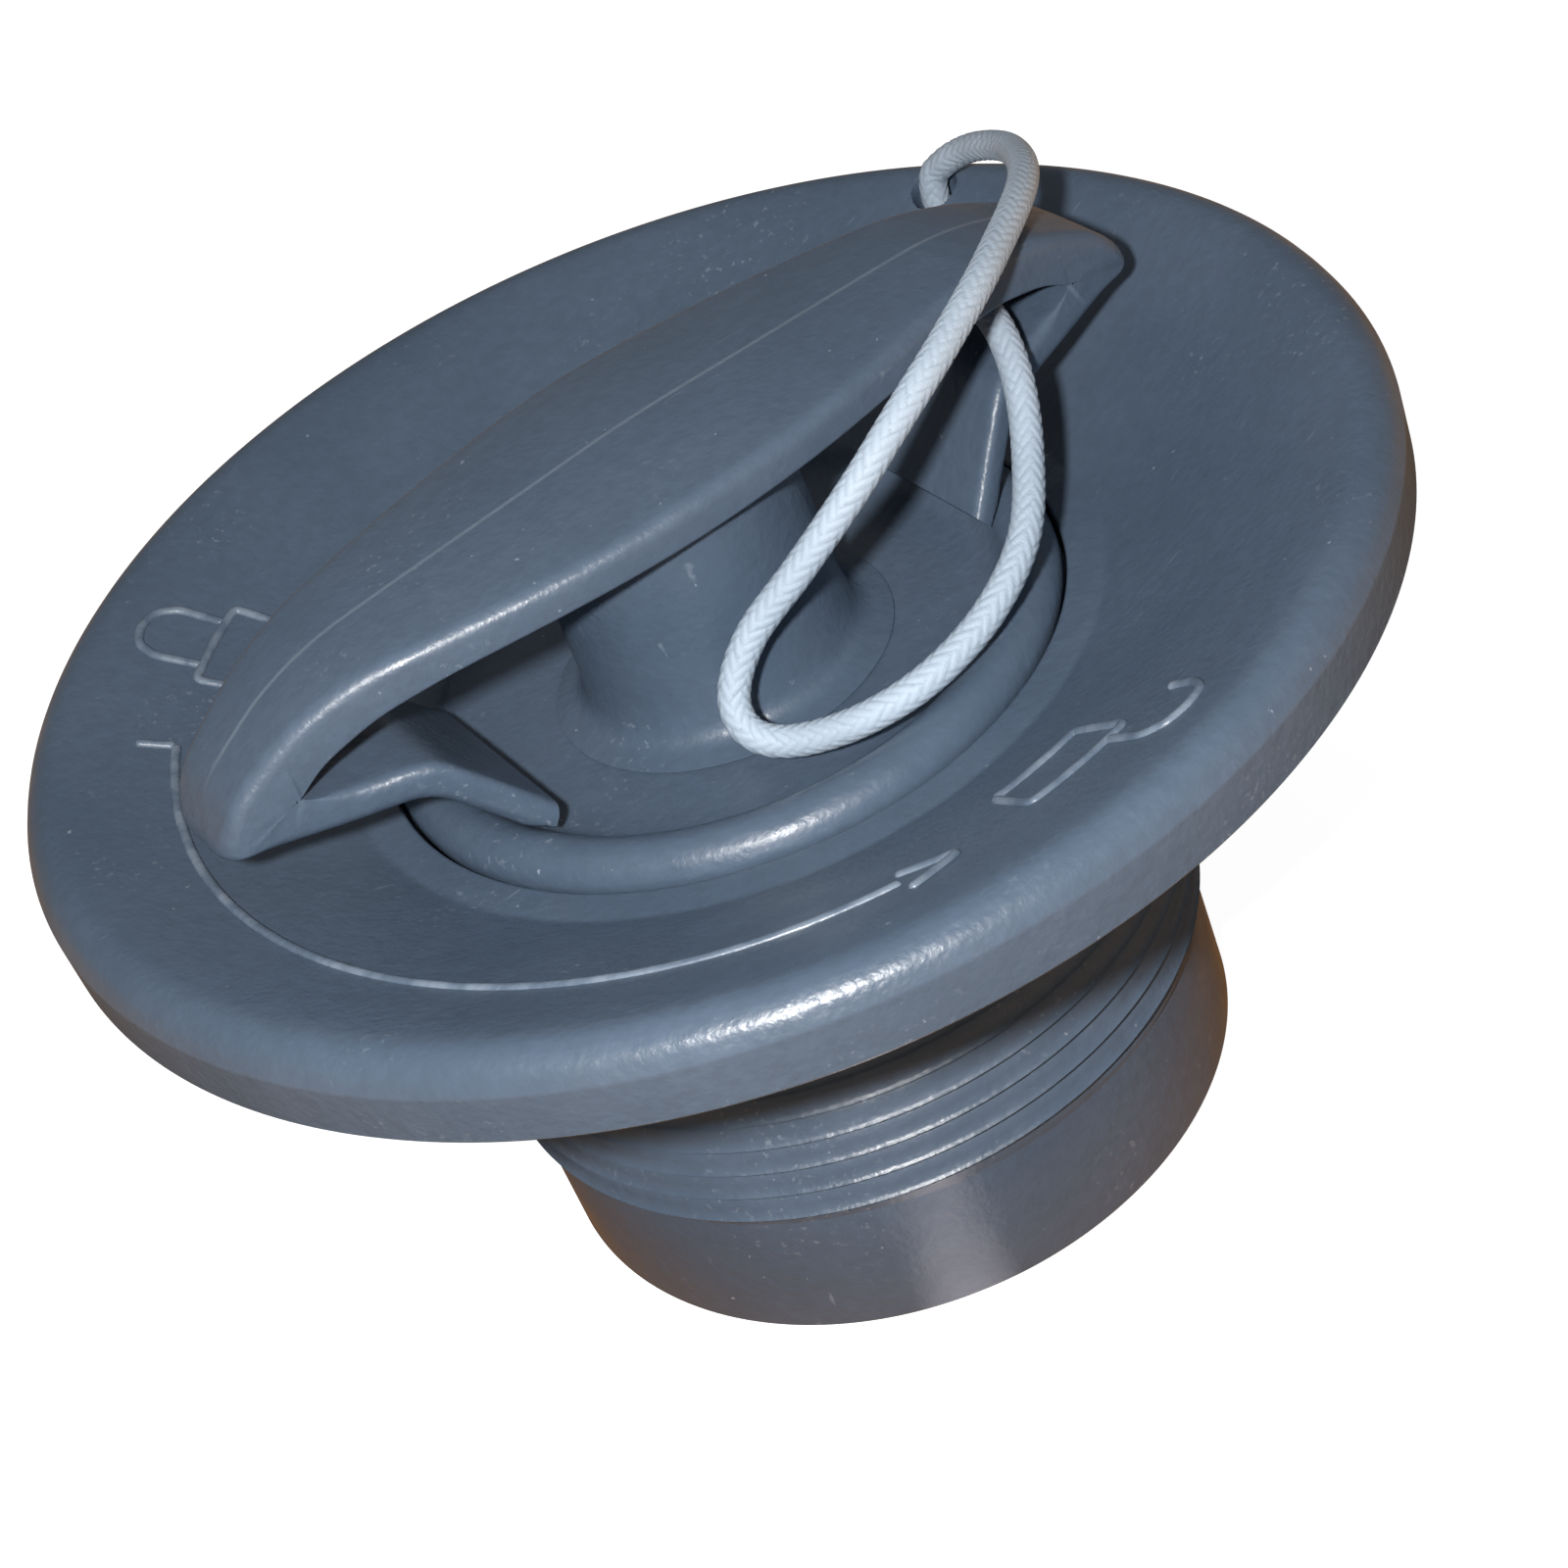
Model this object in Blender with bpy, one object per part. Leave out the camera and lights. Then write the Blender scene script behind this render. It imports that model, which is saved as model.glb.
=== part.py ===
"""A recessed deck fill cap: a threaded deck flange, a lid that lifts out of it, and a wing handle
that turns a lock bar under two ledges in the neck. A white cord ties the handle to the flange.

Metres, +Z up. The origin is on the neck's axis at the spigot's lower end. The handle lies along X.
Lengths below are in millimetres and become metres in mm().
"""

import math

import bmesh
import bpy
import numpy as np
from mathutils import Matrix, Vector

# Common values
SIDES = 48
MID_SIDES = 36
SMALL_SIDES = 24
HOLE_SIDES = 16
TUBE_STEPS = 8
RELIEF_STEPS = 20
GAP = 0.3

# Deck flange
RIM_R = 48.0
RIM_TOP_Z = 50.0
RIM_CREASE_Z = 48.0
RIM_EDGE = 0.6
SEAT_Z = 44.0
BAND_OUT_R = 27.0
BAND_Z = 41.5
POCKET_R = 24.3
POCKET_Z = 38.8
BORE_R = 21.5
SPIGOT_R = 26.0
SPIGOT_EDGE = 0.6
COLLAR_R = 26.2
COLLAR_TOP_Z = 37.0
SHOULDER = ((28.0, 38.6), (37.8, 43.6), (38.3, 44.0))
RIM_ROUND = ((47.4, 49.2), (46.6, 49.8), (45.4, 50.0), (43.6, 49.45))
GASKET_OUT_R = 41.1
GASKET_IN_R = 39.0
GASKET_H = 1.1

# Right-hand pipe thread on the neck, 11 turns to the inch
PITCH = 2.309
THREAD_CREST_R = 26.85
THREAD_ROOT_R = 25.6
THREAD_TOP_Z = 34.7
THREAD_TURNS = 9
THREAD_LEAD_IN = 0.8
THREAD_PHASES = (0.0, 0.22, 0.78)

# Ledges in the neck and the lock bar that turns under them
LEDGE_R = 17.2
LEDGE_LOW_Z = 30.1
LEDGE_TOP_Z = 33.2
LEDGE_DRAFT = 0.3
LEDGE_MID_DEG = 60.0
LEDGE_HALF_DEG = 32.0
BAR_R = 20.7
BAR_HUB_R = 8.0
BAR_HOLE_R = 3.9
BAR_HALF_DEG = 16.0
BAR_LOW_Z = 26.7
BAR_TOP_Z = 29.5

# Lid
ROLL_R = 21.9
ROLL_TUBE_R = 2.1
ROLL_Z = 41.2
FLOOR_Z = 40.5
FLOOR_EDGE = ((16.4, 40.5), (18.2, 40.75), (19.3, 41.2))
FLOOR_UNDER_Z = 38.0
SKIRT_R = 20.9
SKIRT_IN_R = 17.2
SKIRT_TOP_Z = 39.2
SKIRT_LOW_Z = 34.0
LID_GROOVE_R = 19.2
LID_GROOVE_LOW_Z = 35.2
LID_GROOVE_TOP_Z = 37.8
LID_RING_TUBE_R = 0.85
BOSS_R = 8.8
BOSS_LOW_Z = 32.5
SHAFT_HOLE_R = 4.8
SHAFT_GROOVE_R = 6.8
SHAFT_GROOVE_LOW_Z = 34.2
SHAFT_GROOVE_TOP_Z = 36.6
SHAFT_RING_TUBE_R = 0.7

# Wing handle, as x and z points of its side view; the arm's run from the tip to the foot
CREST_IN = ((-10, 60.1), (0, 60.4), (10, 60.1), (20, 59.75), (25, 59.4))
CREST_OUT = ((29, 58.4), (32, 57.0), (34.8, 55.3), (36.2, 53.8), (37.1, 52.4), (37.3, 51.7))
UNDER_IN = ((-10, 57.5), (0, 57.7), (10, 57.5), (18, 57.1), (22, 56.7))
UNDER_OUT = ((25, 56.2), (27.5, 55.4), (29.6, 54.6), (31.6, 53.35))
ARM_LOW_OUT = ((36.7, 51.3), (33.2, 50.45), (31.2, 50.0), (28.8, 49.55), (26.6, 49.25))
ARM_LOW_IN = ((24.8, 48.9), (23.3, 47.9), (21.5, 45.7), (19.9, 43.6), (18.7, 42.0))
ARM_TOP_OUT = ((36.5, 51.9), (33.4, 53.0), (31.6, 53.4), (29.4, 52.35), (26.8, 51.85))
ARM_TOP_IN = ((24.4, 51.5), (22.7, 50.8), (20.5, 48.2), (18.3, 45.3), (17.4, 44.1))
ARM_INSET = 0.02
PLATE_STATIONS = 29
PLATE_ACROSS = 7
END_CROWDING = 0.18
TIP_X = 37.3
TIP_LOW_Z = 51.3
TIP_ROUND = 1.8
CROWN_DROP = 0.8
LEAF_HALF_Y = 11.1
END_HALF_Y = 4.35
LEAF_TAPER_X = 36.0
LEAF_POWER = 0.75
COLUMN_LOW_R = 9.7
COLUMN_TOP_R = 9.2
COLUMN_LOW_Z = 40.8
COLUMN_TOP_Z = 58.6
SOCKET_TOP_Z = 54.5

# Spindle, washer and screw under the handle
SPINDLE_R = 4.5
SPINDLE_TOP_Z = 54.0
SPINDLE_SHOULDER_Z = 30.0
SPINDLE_NECK_R = 3.6
SPINDLE_LOW_Z = 26.4
SPINDLE_BORE_R = 2.4
SPINDLE_BORE_TOP_Z = 40.0
WASHER_R = 7.0
WASHER_HOLE_R = 2.6
WASHER_H = 1.2
SCREW_SHANK_R = 2.1
SCREW_SHANK_TOP_Z = 38.0
SCREW_HEAD_R = 4.4
SCREW_HEAD_H = 2.6
SCREW_HEAD_EDGE = 0.95
SCREW_SOCKET_R = 2.3
SCREW_SOCKET_DEPTH = 1.5

# Cord
CORD_R = 1.1
CORD_HOLE_R = 1.7
CORD_STEP = 4.6
FLANGE_HOLE_XY = (38.0, 21.9)
LIFT = 18.0
KNOT_R = 2.3
KNOT_H = 4.4
KNOT_TAPER = 0.7
KNOT_WAIST = 0.35
KNOT_BULGE_AT = 0.45
KNOT_ROOM = 0.5
STOP_KNOT_Z = SEAT_Z - LIFT - KNOT_ROOM - KNOT_H / 2
HANDLE_KNOT = (26.4, 9.4, 53.7)
CORD_LOW_Z = STOP_KNOT_Z + KNOT_H / 2 + GAP
CORD_END_Y = HANDLE_KNOT[1] - KNOT_H / 2 - GAP
CORD_ROUTE = (
    (*FLANGE_HOLE_XY, CORD_LOW_Z),
    (*FLANGE_HOLE_XY, 34.0),
    (*FLANGE_HOLE_XY, 43.0),
    (*FLANGE_HOLE_XY, 49.5),
    (38.7, 20.5, 51.6),
    (39.5, 16.6, 53.6),
    (38.4, 9.7, 55.9),
    (33.0, -0.1, 59.2),
    (24.1, -8.8, 61.0),
    (17.1, -12.9, 60.4),
    (11.2, -14.6, 58.6),
    (6.9, -14.5, 56.0),
    (2.1, -13.2, 52.4),
    (-2.1, -11.5, 48.9),
    (-4.7, -11.5, 45.8),
    (-5.1, -12.9, 43.6),
    (-3.3, -15.1, 42.7),
    (0.3, -18.5, 43.6),
    (5.0, -20.3, 44.8),
    (10.5, -19.8, 46.0),
    (15.7, -17.4, 47.5),
    (19.9, -13.3, 49.5),
    (23.2, -9.1, 52.2),
    (25.4, -4.2, 54.0),
    (26.2, 1.4, 53.8),
    (HANDLE_KNOT[0], CORD_END_Y, HANDLE_KNOT[2]),
)

# Colours as linear red, green and blue, with roughness and metallic value
FINISHES = {
    "slate_plastic": ((0.088, 0.112, 0.152), 0.38, 0.0),
    "black_rubber": ((0.016, 0.016, 0.018), 0.70, 0.0),
    "stainless_steel": ((0.60, 0.60, 0.58), 0.30, 1.0),
    "white_cord": ((0.74, 0.77, 0.82), 0.85, 0.0),
}


def mm(points):
    """Millimetre points as an array in metres."""
    return np.asarray(points, float) * 0.001


def clear_scene():
    for obj in list(bpy.data.objects):
        bpy.data.objects.remove(obj)


def finish_material(name):
    """The Principled material of one finish, made once."""
    found = bpy.data.materials.get(name)
    if found:
        return found
    colour, roughness, metallic = FINISHES[name]
    material = bpy.data.materials.new(name)
    material.use_nodes = True
    shader = material.node_tree.nodes["Principled BSDF"]
    shader.inputs["Base Color"].default_value = (*colour, 1.0)
    shader.inputs["Roughness"].default_value = roughness
    shader.inputs["Metallic"].default_value = metallic
    return material


def pivot(name, z):
    """An empty on the neck's axis, for the pieces that move together."""
    empty = bpy.data.objects.new(name, None)
    empty.location = (0, 0, z * 0.001)
    bpy.context.scene.collection.objects.link(empty)
    bpy.context.view_layer.update()
    return empty


def add_object(name, data, finish, parent=None):
    """Links a mesh or curve as a named piece, kept in place under its parent."""
    obj = bpy.data.objects.new(name, data)
    bpy.context.scene.collection.objects.link(obj)
    data.materials.append(finish_material(finish))
    if parent:
        obj.parent = parent
        obj.matrix_parent_inverse = parent.matrix_world.inverted()
    return obj


def close_mesh(bm, name, sharp_deg=35.0):
    """Turns the faces outwards and gives a mesh that is smooth except at sharp edges."""
    bmesh.ops.recalc_face_normals(bm, faces=bm.faces)
    mesh = bpy.data.meshes.new(name)
    bm.to_mesh(mesh)
    bm.free()
    mesh.shade_smooth()
    mesh.set_sharp_from_angle(angle=math.radians(sharp_deg))
    return mesh


def circle_angles(count=SIDES):
    return 2 * math.pi * np.arange(count) / count


def ring(bm, radius, height, count=SIDES):
    """One ring of vertices; radius and height are numbers or one value for each side."""
    angles = circle_angles(count)
    radius = np.broadcast_to(radius, count)
    height = np.broadcast_to(height, count)
    if radius.max() < 1e-6:
        return [bm.verts.new(mm((0, 0, height[0])))]
    places = np.stack([radius * np.cos(angles), radius * np.sin(angles), height], 1)
    return [bm.verts.new(place) for place in mm(places)]


def bridge(bm, upper, lower):
    """Faces between two rings, either of which may be one point on the axis."""
    count = max(len(upper), len(lower))
    for i in range(count):
        k = (i + 1) % count
        corners = [upper[i % len(upper)], upper[k % len(upper)]]
        corners += [lower[k % len(lower)], lower[i % len(lower)]]
        bm.faces.new(list(dict.fromkeys(corners)))


def turned(name, outline, finish, parent=None, count=SIDES, around=True):
    """A turned piece from (radius, height) points. around closes the outline into a ring."""
    bm = bmesh.new()
    rings = [ring(bm, radius, height, count) for radius, height in outline]
    for upper, lower in zip(rings[:-1], rings[1:]):
        bridge(bm, upper, lower)
    if around:
        bridge(bm, rings[-1], rings[0])
    return add_object(name, close_mesh(bm, name), finish, parent)


def arc(centre_r, centre_z, radius, start_deg, end_deg, count):
    """Points on an arc in the (radius, height) plane; 0 degrees points outwards and 90 up."""
    turn = np.radians(np.linspace(start_deg, end_deg, count))
    return [(centre_r + radius * math.cos(a), centre_z + radius * math.sin(a)) for a in turn]


def hidden_tool(obj):
    obj.hide_render = True
    obj.display_type = "WIRE"
    return obj


def boolean(obj, tool, operation):
    modifier = obj.modifiers.new(operation.lower(), "BOOLEAN")
    modifier.operation = operation
    modifier.solver = "EXACT"
    modifier.object = hidden_tool(tool)


def drill(obj, name, place, radius, low_z, top_z, parent=None, sides=HOLE_SIDES):
    """Cuts a round or six-sided hole along Z through obj."""
    outline = ((0, top_z), (radius, top_z), (radius, low_z), (0, low_z))
    tool = turned(name, outline, "slate_plastic", parent, sides, around=False)
    tool.data.transform(Matrix.Translation(Vector(mm((*place, 0)))))
    boolean(obj, tool, "DIFFERENCE")


def backwards(vertices):
    """The same ring, counted clockwise from its first vertex."""
    return [vertices[-j] for j in range(len(vertices))]


def thread_faces(bm, top_ring):
    """Winds a right-hand thread down from top_ring and returns the plain ring below it.

    Each turn has a root line and two crest lines. Seen from above, every line drops one pitch in
    a clockwise turn, so its last side joins the first side of the line one turn further down.
    """
    per_turn = len(THREAD_PHASES)
    share = (-np.arange(SIDES) % SIDES) / SIDES
    lines = []
    for i in range(THREAD_TURNS * per_turn + 1):
        down = i // per_turn + THREAD_PHASES[i % per_turn] + share
        radius = THREAD_CREST_R if i % per_turn else THREAD_ROOT_R
        lines.append(backwards(ring(bm, radius, THREAD_TOP_Z - THREAD_LEAD_IN - PITCH * down)))
    low_z = THREAD_TOP_Z - 2 * THREAD_LEAD_IN - PITCH * (THREAD_TURNS + 1)
    low_ring = ring(bm, SPIGOT_R, low_z)
    top_line, low_line = backwards(top_ring), backwards(low_ring)
    last = SIDES - 1
    for upper, lower in zip([top_line] + lines, lines + [low_line]):
        for j in range(last):
            bm.faces.new((upper[j], upper[j + 1], lower[j + 1], lower[j]))
    for i in range(len(lines) - per_turn - 1):
        after, below = lines[i + per_turn][0], lines[i + per_turn + 1][0]
        bm.faces.new((lines[i][last], after, below, lines[i + 1][last]))
    start = [top_line[last], top_line[0]] + [line[0] for line in lines[: per_turn + 1]]
    for a, b in zip(start[:-1], start[1:]):
        bm.faces.new((lines[0][last], a, b))
    finish = [line[last] for line in lines[-per_turn - 1 :]] + [low_line[last], low_line[0]]
    for a, b in zip(finish[:-1], finish[1:]):
        bm.faces.new((lines[-1][0], b, a))
    return low_ring


def ledge_radius():
    """The bore's radius on each side, drawn in over the two ledges."""
    off = np.degrees(circle_angles()) - LEDGE_MID_DEG
    off = (off + 90.0) % 180.0 - 90.0
    return np.where(np.abs(off) <= LEDGE_HALF_DEG, LEDGE_R, BORE_R)


def deck_flange():
    """Flange, dish, neck, thread, ledges and spigot in one moulding."""
    groove_out, groove_in = GASKET_OUT_R + GAP, GASKET_IN_R - GAP
    groove_z = SEAT_Z + GASKET_H + GAP
    from_thread_up = [(COLLAR_R, THREAD_TOP_Z), (COLLAR_R, COLLAR_TOP_Z), *SHOULDER]
    from_thread_up += [(groove_in, SEAT_Z), (groove_in, groove_z)]
    from_thread_up += [(groove_out, groove_z), (groove_out, SEAT_Z), (RIM_R - RIM_EDGE, SEAT_Z)]
    from_thread_up += [(RIM_R, SEAT_Z + RIM_EDGE), (RIM_R, RIM_CREASE_Z), *RIM_ROUND]
    from_thread_up += [(BAND_OUT_R, BAND_Z), (POCKET_R, BAND_Z), (POCKET_R, POCKET_Z)]
    from_thread_up += [(BORE_R, POCKET_Z)]
    bm = bmesh.new()
    rings = [ring(bm, radius, height) for radius, height in from_thread_up]
    ledge = ledge_radius()
    rings.append(ring(bm, BORE_R, LEDGE_TOP_Z + LEDGE_DRAFT))
    rings.append(ring(bm, ledge, LEDGE_TOP_Z))
    rings.append(ring(bm, ledge, LEDGE_LOW_Z))
    rings.append(ring(bm, BORE_R, LEDGE_LOW_Z - LEDGE_DRAFT))
    rings.append(ring(bm, BORE_R, SPIGOT_EDGE))
    rings.append(ring(bm, BORE_R + SPIGOT_EDGE, 0.0))
    rings.append(ring(bm, SPIGOT_R - SPIGOT_EDGE, 0.0))
    rings.append(ring(bm, SPIGOT_R, SPIGOT_EDGE))
    rings.append(thread_faces(bm, rings[0]))
    for upper, lower in zip(rings[:-1], rings[1:]):
        bridge(bm, upper, lower)
    flange = add_object("deck_flange", close_mesh(bm, "deck_flange"), "slate_plastic")
    drill(flange, "cord_hole_tool", FLANGE_HOLE_XY, CORD_HOLE_R, CORD_LOW_Z, RIM_TOP_Z + LIFT)
    return flange


def flat_ring(name, in_r, out_r, low_z, top_z, finish, parent=None, count=SIDES):
    outline = ((in_r, top_z), (out_r, top_z), (out_r, low_z), (in_r, low_z))
    return turned(name, outline, finish, parent, count)


def round_ring(name, mid_r, mid_z, tube_r, finish, parent=None, count=MID_SIDES, steps=TUBE_STEPS):
    outline = arc(mid_r, mid_z, tube_r, 0, -360, steps + 1)[:-1]
    return turned(name, outline, finish, parent, count)


def lid(parent):
    """Dished lid with a rolled rim, a skirt with a seal groove and a boss round the spindle."""
    outline = [(SHAFT_HOLE_R, FLOOR_Z), *FLOOR_EDGE]
    outline += arc(ROLL_R, ROLL_Z, ROLL_TUBE_R, 165, -75, 11)
    outline += [(SKIRT_R, SKIRT_TOP_Z), (SKIRT_R, LID_GROOVE_TOP_Z), (LID_GROOVE_R, LID_GROOVE_TOP_Z)]
    outline += [(LID_GROOVE_R, LID_GROOVE_LOW_Z), (SKIRT_R, LID_GROOVE_LOW_Z)]
    outline += [(SKIRT_R, SKIRT_LOW_Z), (SKIRT_IN_R, SKIRT_LOW_Z), (SKIRT_IN_R, FLOOR_UNDER_Z)]
    outline += [(BOSS_R, FLOOR_UNDER_Z), (BOSS_R, BOSS_LOW_Z), (SHAFT_HOLE_R, BOSS_LOW_Z)]
    outline += [(SHAFT_HOLE_R, SHAFT_GROOVE_LOW_Z), (SHAFT_GROOVE_R, SHAFT_GROOVE_LOW_Z)]
    outline += [(SHAFT_GROOVE_R, SHAFT_GROOVE_TOP_Z), (SHAFT_HOLE_R, SHAFT_GROOVE_TOP_Z)]
    return turned("lid", outline, "slate_plastic", parent)


def smooth_route(points, step):
    """Points about one step apart on a smooth curve through the given points, and its length."""
    route = np.array(points, float)
    ends = np.vstack([2 * route[0] - route[1], route, 2 * route[-1] - route[-2]])
    share = np.linspace(0, 1, 20, endpoint=False)[:, None]
    pieces = []
    for a, b, c, d in zip(ends[:-3], ends[1:-2], ends[2:-1], ends[3:]):
        bend = (2 * a - 5 * b + 4 * c - d) * share**2 + (3 * b - a - 3 * c + d) * share**3
        pieces.append(0.5 * (2 * b + (c - a) * share + bend))
    fine = np.vstack(pieces + [route[-1:]])
    run = np.concatenate([[0], np.cumsum(np.linalg.norm(np.diff(fine, axis=0), axis=1))])
    places = np.linspace(0, run[-1], round(run[-1] / step) + 1)
    even = np.stack([np.interp(places, run, fine[:, k]) for k in range(fine.shape[1])], 1)
    return even, run[-1]


def leaf_half_width(x):
    """Half of the handle's width at x: a leaf that narrows in a smooth wave to blunt, rounded tips."""
    share = np.clip(np.abs(x) / LEAF_TAPER_X, 0, 1)
    wave = (0.5 + 0.5 * np.cos(math.pi * share)) ** LEAF_POWER
    over = np.clip(np.abs(x) - TIP_X + TIP_ROUND, 0, TIP_ROUND)
    cut_off = TIP_ROUND - np.sqrt(TIP_ROUND**2 - over**2)
    return END_HALF_Y + (LEAF_HALF_Y - END_HALF_Y) * wave - cut_off


def side_height(x, points):
    """Height at x of one smooth line of the handle's side view, the same on both sides."""
    line, _ = smooth_route(points, 0.5)
    return np.interp(np.abs(x), line[:, 0], line[:, 1])


def under_height(x):
    """Height of the plate's underside; past the fold it runs straight out to the tip."""
    fold_x, fold_z = UNDER_OUT[-1]
    tip = fold_z + (TIP_LOW_Z - fold_z) * (np.abs(x) - fold_x) / (TIP_X - fold_x)
    return np.where(np.abs(x) < fold_x, side_height(x, UNDER_IN + UNDER_OUT), tip)


def lofted(name, loops, finish, parent):
    """A solid through closed loops of points, with flat ends."""
    bm = bmesh.new()
    rows = [[bm.verts.new(place) for place in mm(loop)] for loop in loops]
    for upper, lower in zip(rows[:-1], rows[1:]):
        bridge(bm, upper, lower)
    bm.faces.new(rows[0])
    bm.faces.new(rows[-1])
    return add_object(name, close_mesh(bm, name), finish, parent)


def handle_plate(parent):
    """The leaf-shaped top of the handle, crowned across its width."""
    turn = np.linspace(-1, 1, PLATE_STATIONS)
    spread = 1 - END_CROWDING * (1 - np.abs(turn))
    stations = TIP_X * np.sin(turn * math.pi / 2) * spread
    across = np.linspace(-1, 1, PLATE_ACROSS)
    loops = []
    for x in stations:
        y = across * leaf_half_width(x)
        fall = CROWN_DROP * (y / LEAF_HALF_Y) ** 2
        top = np.stack([np.full_like(y, x), y, side_height(x, CREST_IN + CREST_OUT) - fall], 1)
        under = np.stack([np.full_like(y, x), y, under_height(x) - fall], 1)
        loops.append(np.concatenate([top, under[::-1]]))
    return lofted("wing_handle", loops, "slate_plastic", parent)


def handle_arm(name, side, parent):
    """One arm: back from the folded tip to a knee, then down to a foot over the lid's rim."""
    loops = []
    for (low_x, low_z), (top_x, top_z) in zip(ARM_LOW_OUT + ARM_LOW_IN, ARM_TOP_OUT + ARM_TOP_IN):
        low_y = leaf_half_width(low_x) - ARM_INSET
        top_y = leaf_half_width(top_x) - ARM_INSET
        loop = [(low_x, -low_y, low_z), (low_x, low_y, low_z)]
        loop += [(top_x, top_y, top_z), (top_x, -top_y, top_z)]
        loops.append(np.array(loop) * (side, side, 1))
    return lofted(name, loops, "slate_plastic", parent)


def wing_handle(parent):
    """Leaf-shaped plate, two folded arms and the column round the spindle, in one moulding.

    The arms' feet are cut back to clear the lid's rolled rim.
    """
    handle = handle_plate(parent)
    for name, side in (("left_arm_tool", -1), ("right_arm_tool", 1)):
        boolean(handle, handle_arm(name, side, parent), "UNION")
    outline = [(0, COLUMN_TOP_Z), (COLUMN_TOP_R, COLUMN_TOP_Z), (COLUMN_LOW_R, COLUMN_LOW_Z)]
    outline += [(SHAFT_HOLE_R, COLUMN_LOW_Z), (SHAFT_HOLE_R, SOCKET_TOP_Z), (0, SOCKET_TOP_Z)]
    column = turned("column_tool", outline, "slate_plastic", parent, MID_SIDES, around=False)
    boolean(handle, column, "UNION")
    relief_size = (ROLL_R, ROLL_Z, ROLL_TUBE_R + GAP)
    relief = round_ring("foot_relief_tool", *relief_size, "slate_plastic", parent, SIDES, RELIEF_STEPS)
    boolean(handle, relief, "DIFFERENCE")
    return handle


def spindle(parent):
    outline = [(0, SPINDLE_TOP_Z), (SPINDLE_R, SPINDLE_TOP_Z), (SPINDLE_R, SPINDLE_SHOULDER_Z)]
    outline += [(SPINDLE_NECK_R, SPINDLE_SHOULDER_Z), (SPINDLE_NECK_R, SPINDLE_LOW_Z)]
    outline += [(SPINDLE_BORE_R, SPINDLE_LOW_Z), (SPINDLE_BORE_R, SPINDLE_BORE_TOP_Z)]
    outline += [(0, SPINDLE_BORE_TOP_Z)]
    return turned("spindle", outline, "stainless_steel", parent, SMALL_SIDES, around=False)


def lock_bar(parent):
    """A hub with two arms that reach under the ledges."""
    off = (np.degrees(circle_angles()) + 90.0) % 180.0 - 90.0
    reach = np.where(np.abs(off) <= BAR_HALF_DEG, BAR_R, BAR_HUB_R)
    bm = bmesh.new()
    rings = [ring(bm, BAR_HOLE_R, BAR_TOP_Z), ring(bm, reach, BAR_TOP_Z)]
    rings += [ring(bm, reach, BAR_LOW_Z), ring(bm, BAR_HOLE_R, BAR_LOW_Z)]
    for upper, lower in zip(rings, rings[1:] + rings[:1]):
        bridge(bm, upper, lower)
    return add_object("lock_bar", close_mesh(bm, "lock_bar"), "slate_plastic", parent)


def lock_screw(parent, head_top_z):
    """Round-headed screw with a six-sided socket, up into the spindle."""
    head_low_z = head_top_z - SCREW_HEAD_H
    outline = [(0, SCREW_SHANK_TOP_Z), (SCREW_SHANK_R, SCREW_SHANK_TOP_Z)]
    outline += [(SCREW_SHANK_R, head_top_z), (SCREW_HEAD_R, head_top_z)]
    outline += [(SCREW_HEAD_R, head_low_z + SCREW_HEAD_EDGE)]
    outline += [(SCREW_HEAD_R - SCREW_HEAD_EDGE, head_low_z), (0, head_low_z)]
    screw = turned("lock_screw", outline, "stainless_steel", parent, SMALL_SIDES, around=False)
    socket_z = head_low_z + SCREW_SOCKET_DEPTH
    drill(screw, "socket_tool", (0, 0), SCREW_SOCKET_R, head_low_z - 1, socket_z, parent, 6)
    return screw


def knot(name, place, lying, parent):
    """A stop knot, drawn up tight into a short barrel with a waist; lying turns it along Y."""
    half = KNOT_H / 2
    end_r, bulge_z = KNOT_R - KNOT_TAPER, half * KNOT_BULGE_AT
    outline = [(0, half), (end_r, half), (KNOT_R, bulge_z), (KNOT_R - KNOT_WAIST, 0)]
    outline += [(KNOT_R, -bulge_z), (end_r, -half), (0, -half)]
    piece = turned(name, outline, "white_cord", parent, HOLE_SIDES, around=False)
    turn = Matrix.Rotation(math.radians(90 if lying else 0), 4, "X")
    piece.data.transform(Matrix.Translation(Vector(mm(place))) @ turn)
    return piece


def tether_cord(parent):
    """The braided cord, from its stop knot up through the flange, in a loop, to the handle."""
    points, length = smooth_route(CORD_ROUTE, CORD_STEP)
    print(f"cord: {len(points)} points, {length:.1f} mm long")
    curve = bpy.data.curves.new("tether_cord", "CURVE")
    curve.dimensions = "3D"
    curve.bevel_depth = CORD_R * 0.001
    curve.bevel_resolution = 2
    curve.use_fill_caps = True
    spline = curve.splines.new("POLY")
    spline.points.add(len(points) - 1)
    for point, place in zip(spline.points, mm(points)):
        point.co = (*place, 1.0)
    return add_object("tether_cord", curve, "white_cord", parent)


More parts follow.
